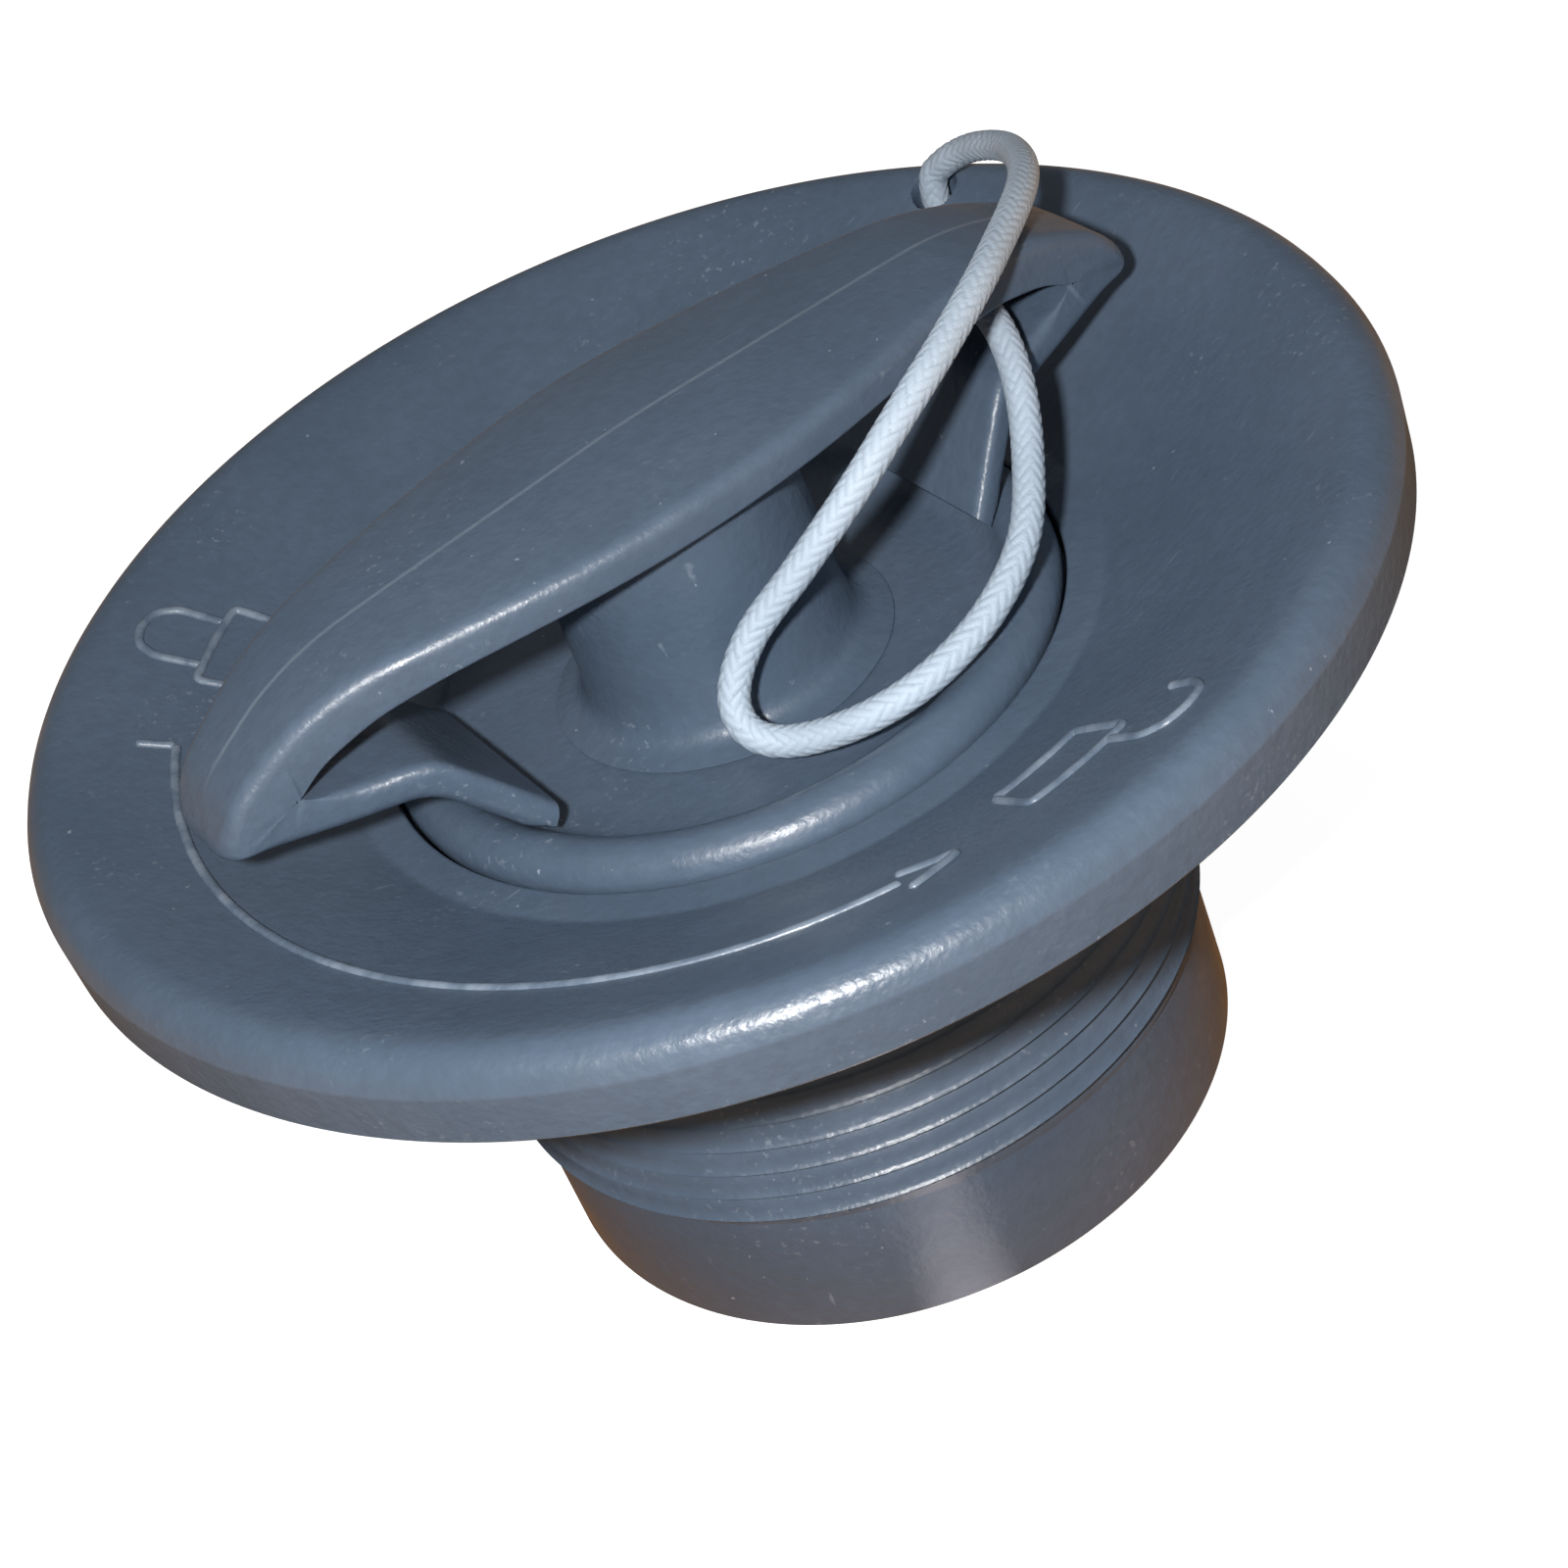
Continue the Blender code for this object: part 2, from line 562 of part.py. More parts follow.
def main():
    clear_scene()
    lift = pivot("lid_pivot", POCKET_Z)
    turn = pivot("handle_pivot", COLUMN_LOW_Z)

    deck_flange()
    flat_ring("deck_gasket", GASKET_IN_R, GASKET_OUT_R, SEAT_Z, SEAT_Z + GASKET_H, "black_rubber")

    lid(lift)
    lid_ring_r = LID_GROOVE_R + GAP + LID_RING_TUBE_R
    lid_ring_z = (LID_GROOVE_LOW_Z + LID_GROOVE_TOP_Z) / 2
    round_ring("lid_o_ring", lid_ring_r, lid_ring_z, LID_RING_TUBE_R, "black_rubber", lift)
    shaft_ring_r = SHAFT_GROOVE_R - GAP - SHAFT_RING_TUBE_R
    shaft_ring_z = (SHAFT_GROOVE_LOW_Z + SHAFT_GROOVE_TOP_Z) / 2
    tube_r = SHAFT_RING_TUBE_R
    round_ring("spindle_o_ring", shaft_ring_r, shaft_ring_z, tube_r, "black_rubber", lift, SMALL_SIDES)

    wing_handle(turn)
    spindle(turn)
    lock_bar(turn)
    washer_top_z = SPINDLE_LOW_Z - GAP
    washer_low_z = washer_top_z - WASHER_H
    washer_size = (WASHER_HOLE_R, WASHER_R, washer_low_z, washer_top_z)
    flat_ring("lock_washer", *washer_size, "stainless_steel", turn, SMALL_SIDES)
    lock_screw(turn, washer_low_z - GAP)

    tether_cord(lift)
    knot("stop_knot", (*FLANGE_HOLE_XY, STOP_KNOT_Z), False, lift)
    knot("handle_knot", HANDLE_KNOT, True, turn)


main()
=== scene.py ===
"""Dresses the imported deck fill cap: fine surfaces, moulded plastic, braided cord, light and camera.

It can be installed as an add-on or run as a script. Lengths in the constants are millimetres in
the part's own frame: +Z up along the neck, +X along the handle, origin at the spigot's lower end.
"""

import math

import bmesh
import bpy
import numpy as np
from bpy.props import FloatProperty, IntProperty, PointerProperty
from mathutils import Matrix, Vector


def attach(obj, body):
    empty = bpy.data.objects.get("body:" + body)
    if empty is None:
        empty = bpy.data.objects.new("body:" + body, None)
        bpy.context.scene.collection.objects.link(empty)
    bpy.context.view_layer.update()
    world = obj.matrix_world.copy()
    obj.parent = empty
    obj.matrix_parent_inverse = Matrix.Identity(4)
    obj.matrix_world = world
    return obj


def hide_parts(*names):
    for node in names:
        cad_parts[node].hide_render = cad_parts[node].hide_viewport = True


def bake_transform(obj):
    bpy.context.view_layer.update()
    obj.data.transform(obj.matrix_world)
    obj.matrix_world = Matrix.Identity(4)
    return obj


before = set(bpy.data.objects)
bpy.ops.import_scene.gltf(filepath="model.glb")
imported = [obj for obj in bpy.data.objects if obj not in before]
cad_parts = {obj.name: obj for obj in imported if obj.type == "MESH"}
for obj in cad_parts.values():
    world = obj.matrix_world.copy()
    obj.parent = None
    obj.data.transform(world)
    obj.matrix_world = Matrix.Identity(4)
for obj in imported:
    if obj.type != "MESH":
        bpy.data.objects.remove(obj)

bl_info = {
    "name": "Deck fill cap",
    "version": (1, 0, 0),
    "blender": (4, 5, 0),
    "location": "View3D > Sidebar > Deck cap",
    "description": "Builds the visible surfaces, materials and stage of a deck fill cap",
    "category": "Object",
}

# Flange and neck
RIM_R = 48.0
RIM_CREASE_Z = 48.0
RIM_TOP = (45.7, 50.15)
RIM_SHOULDER = (47.3, 49.35)
RIM_EDGE = 0.5
SEAT_Z = 44.0
SEAT_IN_R = 38.2
CONE_FOOT = (28.0, 38.6)
BORE_R = 21.5
POCKET_R = 24.3
POCKET_Z = 38.8
BAND_OUT_R = 27.0
BAND_Z = 41.5
SPIGOT_R = 26.0
SPIGOT_BEVEL = 0.6
COLLAR_R = 26.2
COLLAR_TOP_Z = 37.2
COLLAR_LOW_Z = 34.9
GASKET_IN_R = 39.0
GASKET_OUT_R = 41.1
GASKET_TOP_Z = 45.1
LEDGE_R = 17.2
LEDGE_LOW_Z = 30.1
LEDGE_TOP_Z = 33.2
LEDGE_MID_DEG = 60.0
LEDGE_HALF_DEG = 33.5

# Right-hand thread: heights of its ends, and its radius at places in one pitch from a root down
PITCH = 2.309
THREAD_START_Z = 38.64
THREAD_TOP_Z = 35.2
THREAD_LOW_Z = 11.6
THREAD_TURNS = 13
THREAD_SHAPE = (
    (0.0, 25.45),
    (0.05, 25.6),
    (0.10, 25.95),
    (0.18, 26.15),
    (0.50, 26.4),
    (0.74, 26.6),
    (0.80, 26.74),
    (0.84, 26.85),
    (0.87, 26.78),
    (0.91, 26.35),
    (0.95, 25.7),
)

# Moulded signs on the dish: radii in millimetres and azimuths in degrees
DISH_OUT_R = 43.6
DISH_OUT_Z = 49.45
SIGN_HALF = 0.36
SIGN_RISE = 0.85
SIGN_EASE = 16
ARROW_R = 37.8
ARROW_DEG = (150.0, 256.5)
ARROW_TICK_R = 40.4
ARROW_TIP_DEG = 262.3
ARROW_BARBS_R = (39.7, 35.9)
LOCK_BODY_R = (33.0, 37.7)
LOCK_BODY_DEG = 6.1
SHACKLE_DEG = 3.6
SHACKLE_R = (40.9, 42.2, 42.6)
SHACKLE_OPEN_R = 38.9
CLOSED_LOCK_DEG = 132.6
OPEN_LOCK_DEG = -83.6
OPEN_SHIFT_DEG = 7.2

# Lid
ROLL_R = 21.9
ROLL_TUBE_R = 2.1
ROLL_Z = 41.2
ROLL_SWEEP_DEG = (160, -75)
LID_HOLE_R = 4.8
LID_TOP_Z = 40.5
LID_FLAT_R = 16.6
LID_RISE = (18.8, 40.9)
SKIRT_IN_R = 17.2
SKIRT_OUT_R = 20.9
SKIRT_TOP_Z = 39.2
SKIRT_LOW_Z = 34.0
GROOVE_R = 19.2
GROOVE_LOW_Z = 35.2
GROOVE_TOP_Z = 37.8
LID_UNDER_Z = 38.0
BOSS_R = 8.8
BOSS_LOW_Z = 32.5

# Round seals, as middle radius, middle height and tube radius
LID_SEAL = (20.35, 36.5, 0.85)
SPINDLE_SEAL = (5.8, 35.4, 0.7)

# Lock under the lid; the outlines are points of radius, height and corner cut
SPINDLE_TOP = ((0.0, 54.0, 0), (4.5, 54.0, 0.4), (4.5, 30.0, 0.2), (3.6, 30.0, 0.1), (3.6, 26.4, 0.3))
SPINDLE_BORE = ((2.4, 26.4, 0.2), (2.4, 40.0, 0.3), (0.0, 40.0, 0))
SCREW_SHANK = ((0.0, 38.0, 0), (2.1, 38.0, 0.4), (2.1, 24.6, 0.1))
SCREW_HEAD = ((4.4, 24.6, 0.2), (4.4, 23.2, 0.5), (3.4, 22.0, 0.6))
SCREW_SOCKET = ((2.2, 22.0, 0.15), (2.1, 23.5, 0.1), (0.0, 23.5, 0))
WASHER_R = (2.6, 7.0)
WASHER_Z = (24.9, 26.1)
BAR_HOLE_R = 3.9
BAR_HUB_R = 8.0
BAR_HALF_Y = 5.2
BAR_REACH = 20.7
BAR_LOW_Z = 26.7
BAR_TOP_Z = 29.5
BAR_BEVEL = 0.3

# Handle, as x and z points of its side view; the arm's run from the nose to the foot
CREST_IN = ((-10, 60.1), (0, 60.4), (10, 60.1), (20, 59.75), (25, 59.4))
CREST_OUT = ((29, 58.4), (32, 57.0), (34.8, 55.3), (36.2, 53.8), (37.1, 52.4), (37.3, 51.7))
UNDER_IN = ((-10, 57.5), (0, 57.7), (10, 57.5), (18, 57.1), (22, 56.7))
UNDER_OUT = ((25, 56.2), (27.5, 55.4), (29.6, 54.6), (31.6, 53.35))
NOSE = ((37.3, 51.7), (37.1, 51.4), (36.5, 51.2), (34.8, 50.85), (33.2, 50.45))
ARM_LOW_OUT = ((33.2, 50.45), (31.2, 50.0), (28.8, 49.55), (26.6, 49.25), (24.8, 48.9))
ARM_LOW_IN = ((23.3, 47.9), (21.5, 45.7), (19.9, 43.6), (18.7, 42.0))
ARM_TOP_OUT = ((31.6, 53.35), (30.2, 52.65), (28.4, 52.15), (26.6, 51.8), (24.4, 51.5))
ARM_TOP_IN = ((22.7, 50.8), (20.5, 48.2), (18.3, 45.3), (17.4, 44.1))
FOOT_GAP = 0.35
TIP_X = 37.3
TIP_ROUND = 1.8
CROWN_DROP = 0.8
LEAF_HALF_Y = 11.1
END_HALF_Y = 4.35
LEAF_TAPER_X = 36.0
LEAF_POWER = 0.75
OUTER_EDGE_R = 1.0
INNER_EDGE_R = 0.35
ARM_EDGE_R = 0.9
COLUMN_SIDE = ((10.5, 58.3, 0), (10.1, 57.2, 0.5), (9.25, 56.0, 1.0), (9.5, 43.4, 1.6), (10.0, 41.2, 1.2))
COLUMN_FOOT = ((12.2, 40.66, 0.1), (12.1, 40.6, 0), (4.8, 40.6, 0.2))
COLUMN_SOCKET = ((4.8, 54.5, 0.3), (0.0, 54.5, 0))

# Cord
FLANGE_HOLE_XY = (38.0, 21.9)
HOLE_R = 1.7
HOLE_HALF_DEG = 4.2
HOLE_STEP = 0.3
PIT_TOP = 2.2
PIT_UNDER = 1.6
STRANDS = 8
BRAID_PITCH = 3.6
BRAID_FULLNESS = 0.5
KNOT_R = 2.3
KNOT_H = 4.4
KNOT_GROOVE = 0.75
KNOT_RELIEF = 0.08
GAP = 0.3
STOP_KNOT = (*FLANGE_HOLE_XY, 23.3)
HANDLE_KNOT = (26.4, 9.4, 53.7)
CORD_ROUTE = (
    (*FLANGE_HOLE_XY, STOP_KNOT[2] + KNOT_H / 2 + GAP),
    (*FLANGE_HOLE_XY, 34.0),
    (*FLANGE_HOLE_XY, 43.0),
    (*FLANGE_HOLE_XY, 49.5),
    (38.7, 20.5, 51.6),
    (39.5, 16.6, 53.6),
    (38.4, 9.7, 55.9),
    (33.0, -0.1, 59.2),
    (24.1, -8.8, 61.0),
    (17.1, -12.9, 60.4),
    (11.2, -14.6, 58.6),
    (6.9, -14.5, 56.0),
    (2.1, -13.2, 52.4),
    (-2.1, -11.5, 48.9),
    (-4.7, -11.5, 45.8),
    (-5.1, -12.9, 43.6),
    (-3.3, -15.1, 42.7),
    (0.3, -18.5, 43.6),
    (5.0, -20.3, 44.8),
    (10.5, -19.8, 46.0),
    (15.7, -17.4, 47.5),
    (19.9, -13.3, 49.5),
    (23.2, -9.1, 52.2),
    (25.4, -4.2, 54.0),
    (26.2, 1.4, 53.8),
    (HANDLE_KNOT[0], HANDLE_KNOT[1] - KNOT_H / 2 - GAP, HANDLE_KNOT[2]),
)

# Camera, as the photograph has it
CAMERA_AT = (-61.6, -167.4, 162.5)
CAMERA_RIGHT = (0.7858, -0.5370, -0.3067)
CAMERA_UP = (0.5527, 0.3873, 0.7380)
LENS_MM = 72.4
SENSOR_MM = 36.0

# Lights
FLASH_AT = (-80.0, -152.0, 173.0)
FLASH_AIM = (-5.0, -22.0, 30.0)
FLASH_TONE = (1.0, 0.98, 0.96)
FLASH_SPREAD_DEG = 66.0
FLASH_R = 6.0
OVERHEAD_AT = (-100.0, 100.0, 600.0)
OVERHEAD_AIM = (0.0, 0.0, 45.0)
OVERHEAD_SIDE = 600.0
OVERHEAD_TONE = (0.90, 0.95, 1.0)
ROOM_TONE = (0.94, 0.97, 1.0)

# Floor: what the camera sees of it, and the warm light that it gives the part
FLOOR_HALF = 3000.0
FLOOR_GLOW = 0.92
FLOOR_GREY = 0.6
WARM_NEAR = (1.05, 0.48, 0.15)
WARM_SHADE = (0.14, 0.09, 0.06)
WARM_FAR = (1.25, 0.78, 0.45)
SHADE_STARTS = (30.0, 42.0)
FAR_STARTS = (75.0, 130.0)
WARM_SHINE = 0.3
STREAK_TONE = (3.2, 2.7, 2.6)
STREAK_DEG = -113.0
STREAK_HALF_DEG = 9.0
STREAK_ENDS = (44.0, 60.0)

# Tones of the materials
PLASTIC_DARK = (0.066, 0.097, 0.143)
PLASTIC_PALE = (0.082, 0.116, 0.168)
PLASTIC_MOTTLE = (0.058, 0.082, 0.118)
DUST_TONE = (0.30, 0.34, 0.40)
SCUFF_TONE = (0.22, 0.26, 0.32)
SPECK_TONE = (0.28, 0.32, 0.38)
# Pale patches on the raised signs: partly wear, partly a painted highlight that the raised lines catch
WEAR_AND_SHEEN_TONE = (0.25, 0.30, 0.36)
WEAR_AND_SHEEN_SHARE = 0.55
SEAM_TONE = (0.24, 0.29, 0.34)
SEAM_HALF = (0.08, 0.25)
SEAM_STARTS_Z = (54.5, 56.5)
RUBBER_DARK = (0.010, 0.010, 0.011)
RUBBER_BLOOM = (0.035, 0.035, 0.036)
STEEL_DARK = (0.50, 0.50, 0.49)
STEEL_PALE = (0.66, 0.66, 0.64)
# Cord: the dip colour is painted shade between the braid's strands
CORD_DIP_SHADE = (0.26, 0.32, 0.39)
CORD_TOP = (0.39, 0.47, 0.56)
CORD_SOIL = (0.33, 0.40, 0.48)


def mm(points):
    """Millimetre points as an array in metres."""
    return np.asarray(points, float) * 0.001


def smoothstep(value, low, high):
    """0 below low, 1 above high, and a smooth rise between them."""
    share = np.clip((np.asarray(value, float) - low) / (high - low), 0, 1)
    return share * share * (3 - 2 * share)


def soften(corners, steps=5):
    """An outline whose corners (radius, height, cut) are rounded by a parabola that starts and
    ends one cut away from the corner; a cut of 0 keeps the corner."""
    corners = np.array(corners, float)
    points = [corners[0, :2]]
    for before, here, after in zip(corners[:-2], corners[1:-1], corners[2:]):
        place, cut = here[:2], here[2]
        if cut == 0:
            points.append(place)
            continue
        back, ahead = before[:2] - place, after[:2] - place
        enter = place + back * min(cut / np.linalg.norm(back), 0.49)
        leave = place + ahead * min(cut / np.linalg.norm(ahead), 0.49)
        share = np.linspace(0, 1, steps)[:, None]
        points.extend(enter * (1 - share) ** 2 + 2 * place * share * (1 - share) + leave * share**2)
    points.append(corners[-1, :2])
    return np.array(points)


def refine(outline, step, low_r, high_r):
    """Adds points no further apart than step to the outline's stretches between two radii."""
    points = [outline[0]]
    for a, b in zip(outline[:-1], outline[1:]):
        inside = min(a[0], b[0]) < high_r and max(a[0], b[0]) > low_r
        count = max(1, math.ceil(np.linalg.norm(b - a) / step)) if inside else 1
        points.extend(a + (b - a) * share for share in np.linspace(0, 1, count + 1)[1:])
    return np.array(points)


def lathe(outline, angles):
    """The surface of revolution of an outline: rows follow the outline, columns the angles."""
    outline = np.asarray(outline, float)
    radius, height = outline[:, 0, None], outline[:, 1, None]
    flat = np.ones_like(angles)
    return np.stack([radius * np.cos(angles), radius * np.sin(angles), height * flat], 2)


def level_ring(reach, angles, height):
    """One row of points at a height, at each angle's own reach from the axis."""
    return np.stack([reach * np.cos(angles), reach * np.sin(angles), np.full(len(angles), height)], 1)


def circle(count):
    """Evenly spaced angles of one turn."""
    return 2 * math.pi * np.arange(count) / count


def grid_faces(rows, columns, wrap, first=0):
    """Four-cornered faces of a grid; wrap joins the last column to the first."""
    i = np.arange(rows - 1)[:, None]
    j = np.arange(columns if wrap else columns - 1)[None, :]
    k = (j + 1) % columns
    corners = [i * columns + j, (i + 1) * columns + j, (i + 1) * columns + k, i * columns + k]
    return np.stack([c.ravel() for c in corners], 1) + first


def piece(name, grids, body, material, sharp_deg=38.0, nodes=()):
    """One mesh object from grids of millimetre points, each given as (points, wrap)."""
    places, faces, count = [], [], 0
    for points, wrap in grids:
        rows, columns = points.shape[:2]
        places.append(points.reshape(-1, 3))
        faces.append(grid_faces(rows, columns, wrap, count))
        count += rows * columns
    mesh = bpy.data.meshes.new(name)
    mesh.from_pydata(mm(np.concatenate(places)), [], np.concatenate(faces).tolist())
    work = bmesh.new()
    work.from_mesh(mesh)
    bmesh.ops.remove_doubles(work, verts=work.verts, dist=1e-6)
    work.to_mesh(mesh)
    work.free()
    mesh.shade_smooth()
    mesh.set_sharp_from_angle(angle=math.radians(sharp_deg))
    mesh.materials.append(material)
    obj = bpy.data.objects.new(name, mesh)
    bpy.context.scene.collection.objects.link(obj)
    if body:
        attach(obj, body)
    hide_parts(*nodes)
    return obj


class Shader:
    """A short way to add and join the nodes of one material."""

    def __init__(self, name):
        self.material = bpy.data.materials.new(name)
        self.material.use_nodes = True
        self.tree = self.material.node_tree
        self.surface = self.tree.nodes["Principled BSDF"]
        self.place = self.add("ShaderNodeTexCoord").outputs["Object"]

    def add(self, kind, **settings):
        """A new node of that kind with its settings."""
        node = self.tree.nodes.new(kind)
        for key, value in settings.items():
            setattr(node, key, value)
        return node

    def join(self, source, target):
        """Links an output to an input."""
        self.tree.links.new(source, target)

    def noise(self, scale, detail=2.0, stretch=None):
        """Noise over the object's own coordinates; stretch squeezes it along each axis."""
        node = self.add("ShaderNodeTexNoise")
        node.inputs["Scale"].default_value = scale
        node.inputs["Detail"].default_value = detail
        place = self.place
        if stretch:
            mapping = self.add("ShaderNodeMapping")
            mapping.inputs["Scale"].default_value = stretch
            self.join(place, mapping.inputs["Vector"])
            place = mapping.outputs["Vector"]
        self.join(place, node.inputs["Vector"])
        return node.outputs["Fac"]

    def span(self, value, low, high, to_low, to_high):
        """value's stretch low to high mapped onto to_low to to_high, and held at the ends."""
        node = self.add("ShaderNodeMapRange")
        self.join(value, node.inputs["Value"])
        for key, number in zip(("From Min", "From Max", "To Min", "To Max"), (low, high, to_low, to_high)):
            node.inputs[key].default_value = number
        return node.outputs["Result"]

    def mix(self, share, first, second, blend="MIX"):
        """A colour between first and second; each is a colour or another node's output."""
        node = self.add("ShaderNodeMix", data_type="RGBA", blend_type=blend)
        for socket, value in ((node.inputs[0], share), (node.inputs[6], first), (node.inputs[7], second)):
            if isinstance(value, bpy.types.NodeSocket):
                self.join(value, socket)
            else:
                socket.default_value = value if isinstance(value, float) else (*value, 1.0)
        return node.outputs[2]

    def sum(self, first, second):
        """first plus second."""
        return self.pair("ADD", first, second)

    def times(self, first, second):
        """first times second."""
        return self.pair("MULTIPLY", first, second)

    def pair(self, operation, first, second):
        """One sum or product of two outputs."""
        node = self.add("ShaderNodeMath", operation=operation)
        self.join(first, node.inputs[0])
        self.join(second, node.inputs[1])
        return node.outputs["Value"]

    def bump(self, height, distance, strength):
        """Bumps the surface by a height."""
        node = self.add("ShaderNodeBump")
        node.inputs["Distance"].default_value = distance
        node.inputs["Strength"].default_value = strength
        self.join(height, node.inputs["Height"])
        self.join(node.outputs["Normal"], self.surface.inputs["Normal"])

    def colour(self, output):
        """Joins an output to the surface's colour."""
        self.join(output, self.surface.inputs["Base Color"])

    def roughness(self, output):
        """Joins an output to the surface's roughness."""
        self.join(output, self.surface.inputs["Roughness"])


def plastic_material(name, settings, wear_and_sheen=0.0, seam=False):
    """Satin moulded plastic: cloudy tone, dust flecks, patches of pale specks, short scuffs and a
    moulded grain. A share given for lightening lightens it in patches, partly as wear on raised lines
    that hands and cloths pass over and partly as a painted highlight on those raised lines. seam adds
    the faint line that a mould's parting leaves along the handle's top."""
    shader = Shader(name)
    cloud = shader.span(shader.noise(55.0, 3.0), 0.35, 0.65, 0.0, 1.0)
    tone = shader.mix(cloud, PLASTIC_DARK, PLASTIC_PALE)
    mottle = shader.span(shader.noise(900.0, 3.0), 0.35, 0.65, 0.0, 0.35)
    tone = shader.mix(mottle, tone, PLASTIC_MOTTLE)
    fleck = shader.span(shader.noise(1300.0, 2.0), 0.755, 0.79, 0.0, 0.6)
    tone = shader.mix(fleck, tone, DUST_TONE)
    scuff = shader.span(shader.noise(420.0, 3.0, (0.35, 3.2, 1.0)), 0.72, 0.78, 0.0, 0.4)
    tone = shader.mix(scuff, tone, SCUFF_TONE)
    patch = shader.span(shader.noise(75.0, 2.0), 0.54, 0.68, 0.0, 1.0)
    speck = shader.span(shader.noise(1900.0, 3.0), 0.62, 0.70, 0.0, 0.35)
    tone = shader.mix(shader.times(patch, speck), tone, SPECK_TONE)
    # painted highlight together with wear: pale patches lighten the raised signs
    if wear_and_sheen:
        wear_sheen_patches = shader.span(shader.noise(420.0, 4.0), 0.42, 0.62, 0.2 * wear_and_sheen, wear_and_sheen)
        tone = shader.mix(wear_sheen_patches, tone, WEAR_AND_SHEEN_TONE)
    if seam:
        axes = shader.add("ShaderNodeSeparateXYZ")
        shader.join(shader.place, axes.inputs[0])
        off = shader.add("ShaderNodeMath", operation="ABSOLUTE")
        shader.join(axes.outputs["Y"], off.inputs[0])
        line = shader.span(off.outputs["Value"], *mm(SEAM_HALF), 0.35, 0.0)
        high = shader.span(axes.outputs["Z"], *mm(SEAM_STARTS_Z), 0.0, 1.0)
        tone = shader.mix(shader.times(line, high), tone, SEAM_TONE)
    shader.colour(tone)
    rough = settings.plastic_roughness
    shader.roughness(shader.span(shader.noise(240.0, 4.0), 0.3, 0.7, rough - 0.06, rough + 0.08))
    grain = shader.sum(shader.noise(1700.0, 2.0), shader.noise(380.0, 2.0))
    shader.bump(grain, 0.00009, 0.6)
    return shader.material


def rubber_material(name):
    """Black rubber with a dusty bloom."""
    shader = Shader(name)
    bloom = shader.span(shader.noise(380.0, 4.0), 0.45, 0.75, 0.0, 0.7)
    shader.colour(shader.mix(bloom, RUBBER_DARK, RUBBER_BLOOM))
    shader.roughness(shader.span(shader.noise(700.0, 2.0), 0.3, 0.7, 0.58, 0.82))
    shader.bump(shader.noise(1800.0, 2.0), 0.00006, 0.5)
    return shader.material


def steel_material(name):
    """Turned stainless steel with fine rings round the axis."""
    shader = Shader(name)
    shader.surface.inputs["Metallic"].default_value = 1.0
    rings = shader.noise(900.0, 2.0, (0.2, 0.2, 6.0))
    shader.colour(shader.mix(shader.span(rings, 0.3, 0.7, 0.0, 1.0), STEEL_DARK, STEEL_PALE))
    shader.roughness(shader.span(shader.noise(500.0, 3.0), 0.3, 0.7, 0.22, 0.40))
    shader.bump(rings, 0.00003, 0.4)
    return shader.material


def cord_material(name):
    """White braid with painted shade where the strands dip; the weave attribute is 0 in a dip and 1 on top.
    """
    shader = Shader(name)
    weave = shader.add("ShaderNodeAttribute", attribute_name="weave").outputs["Fac"]
    soil = shader.span(shader.noise(260.0, 3.0), 0.4, 0.75, 0.0, 0.6)
    # painted shade: the colour darkens where the weave attribute marks a dip between strands
    shaded_weave = shader.mix(shader.span(weave, 0.0, 0.8, 0.0, 1.0), CORD_DIP_SHADE, CORD_TOP)
    shader.colour(shader.mix(soil, shaded_weave, CORD_SOIL))
    shader.roughness(shader.span(weave, 0.0, 1.0, 0.85, 0.60))
    shader.bump(shader.noise(5200.0, 2.0), 0.00006, 0.6)
    return shader.material


def material(name):
    """The scene's material of that name, made the first time it is asked for."""
    found = bpy.data.materials.get(name)
    if found:
        return found
    if name.endswith("_plastic"):
        wear_and_sheen = WEAR_AND_SHEEN_SHARE if name == "sign_wear_sheen_plastic" else 0.0
        return plastic_material(name, bpy.context.scene.deck_cap, wear_and_sheen, name == "handle_plastic")
    makers = {"seal_rubber": rubber_material, "turned_steel": steel_material, "braid": cord_material}
    return makers[name](name)


def hole_angles(columns):
    """Angles round the flange, closer together at the cord's hole."""
    middle = math.atan2(FLANGE_HOLE_XY[1], FLANGE_HOLE_XY[0])
    near = middle + np.radians(np.linspace(-HOLE_HALF_DEG, HOLE_HALF_DEG, 61))
    wide = circle(columns)
    wide = wide[np.abs(wide - middle) > math.radians(HOLE_HALF_DEG + 0.1)]
    return np.sort(np.concatenate([wide, near]))


def hole_pit(points, depth):
    """Sinks grid points by depth inside the cord's hole, with a steep smooth wall."""
    away = np.hypot(points[..., 0] - FLANGE_HOLE_XY[0], points[..., 1] - FLANGE_HOLE_XY[1])
    sunk = points.copy()
    sunk[..., 2] -= depth * (1 - smoothstep(away, HOLE_R - 0.35, HOLE_R + 0.15))
    return sunk


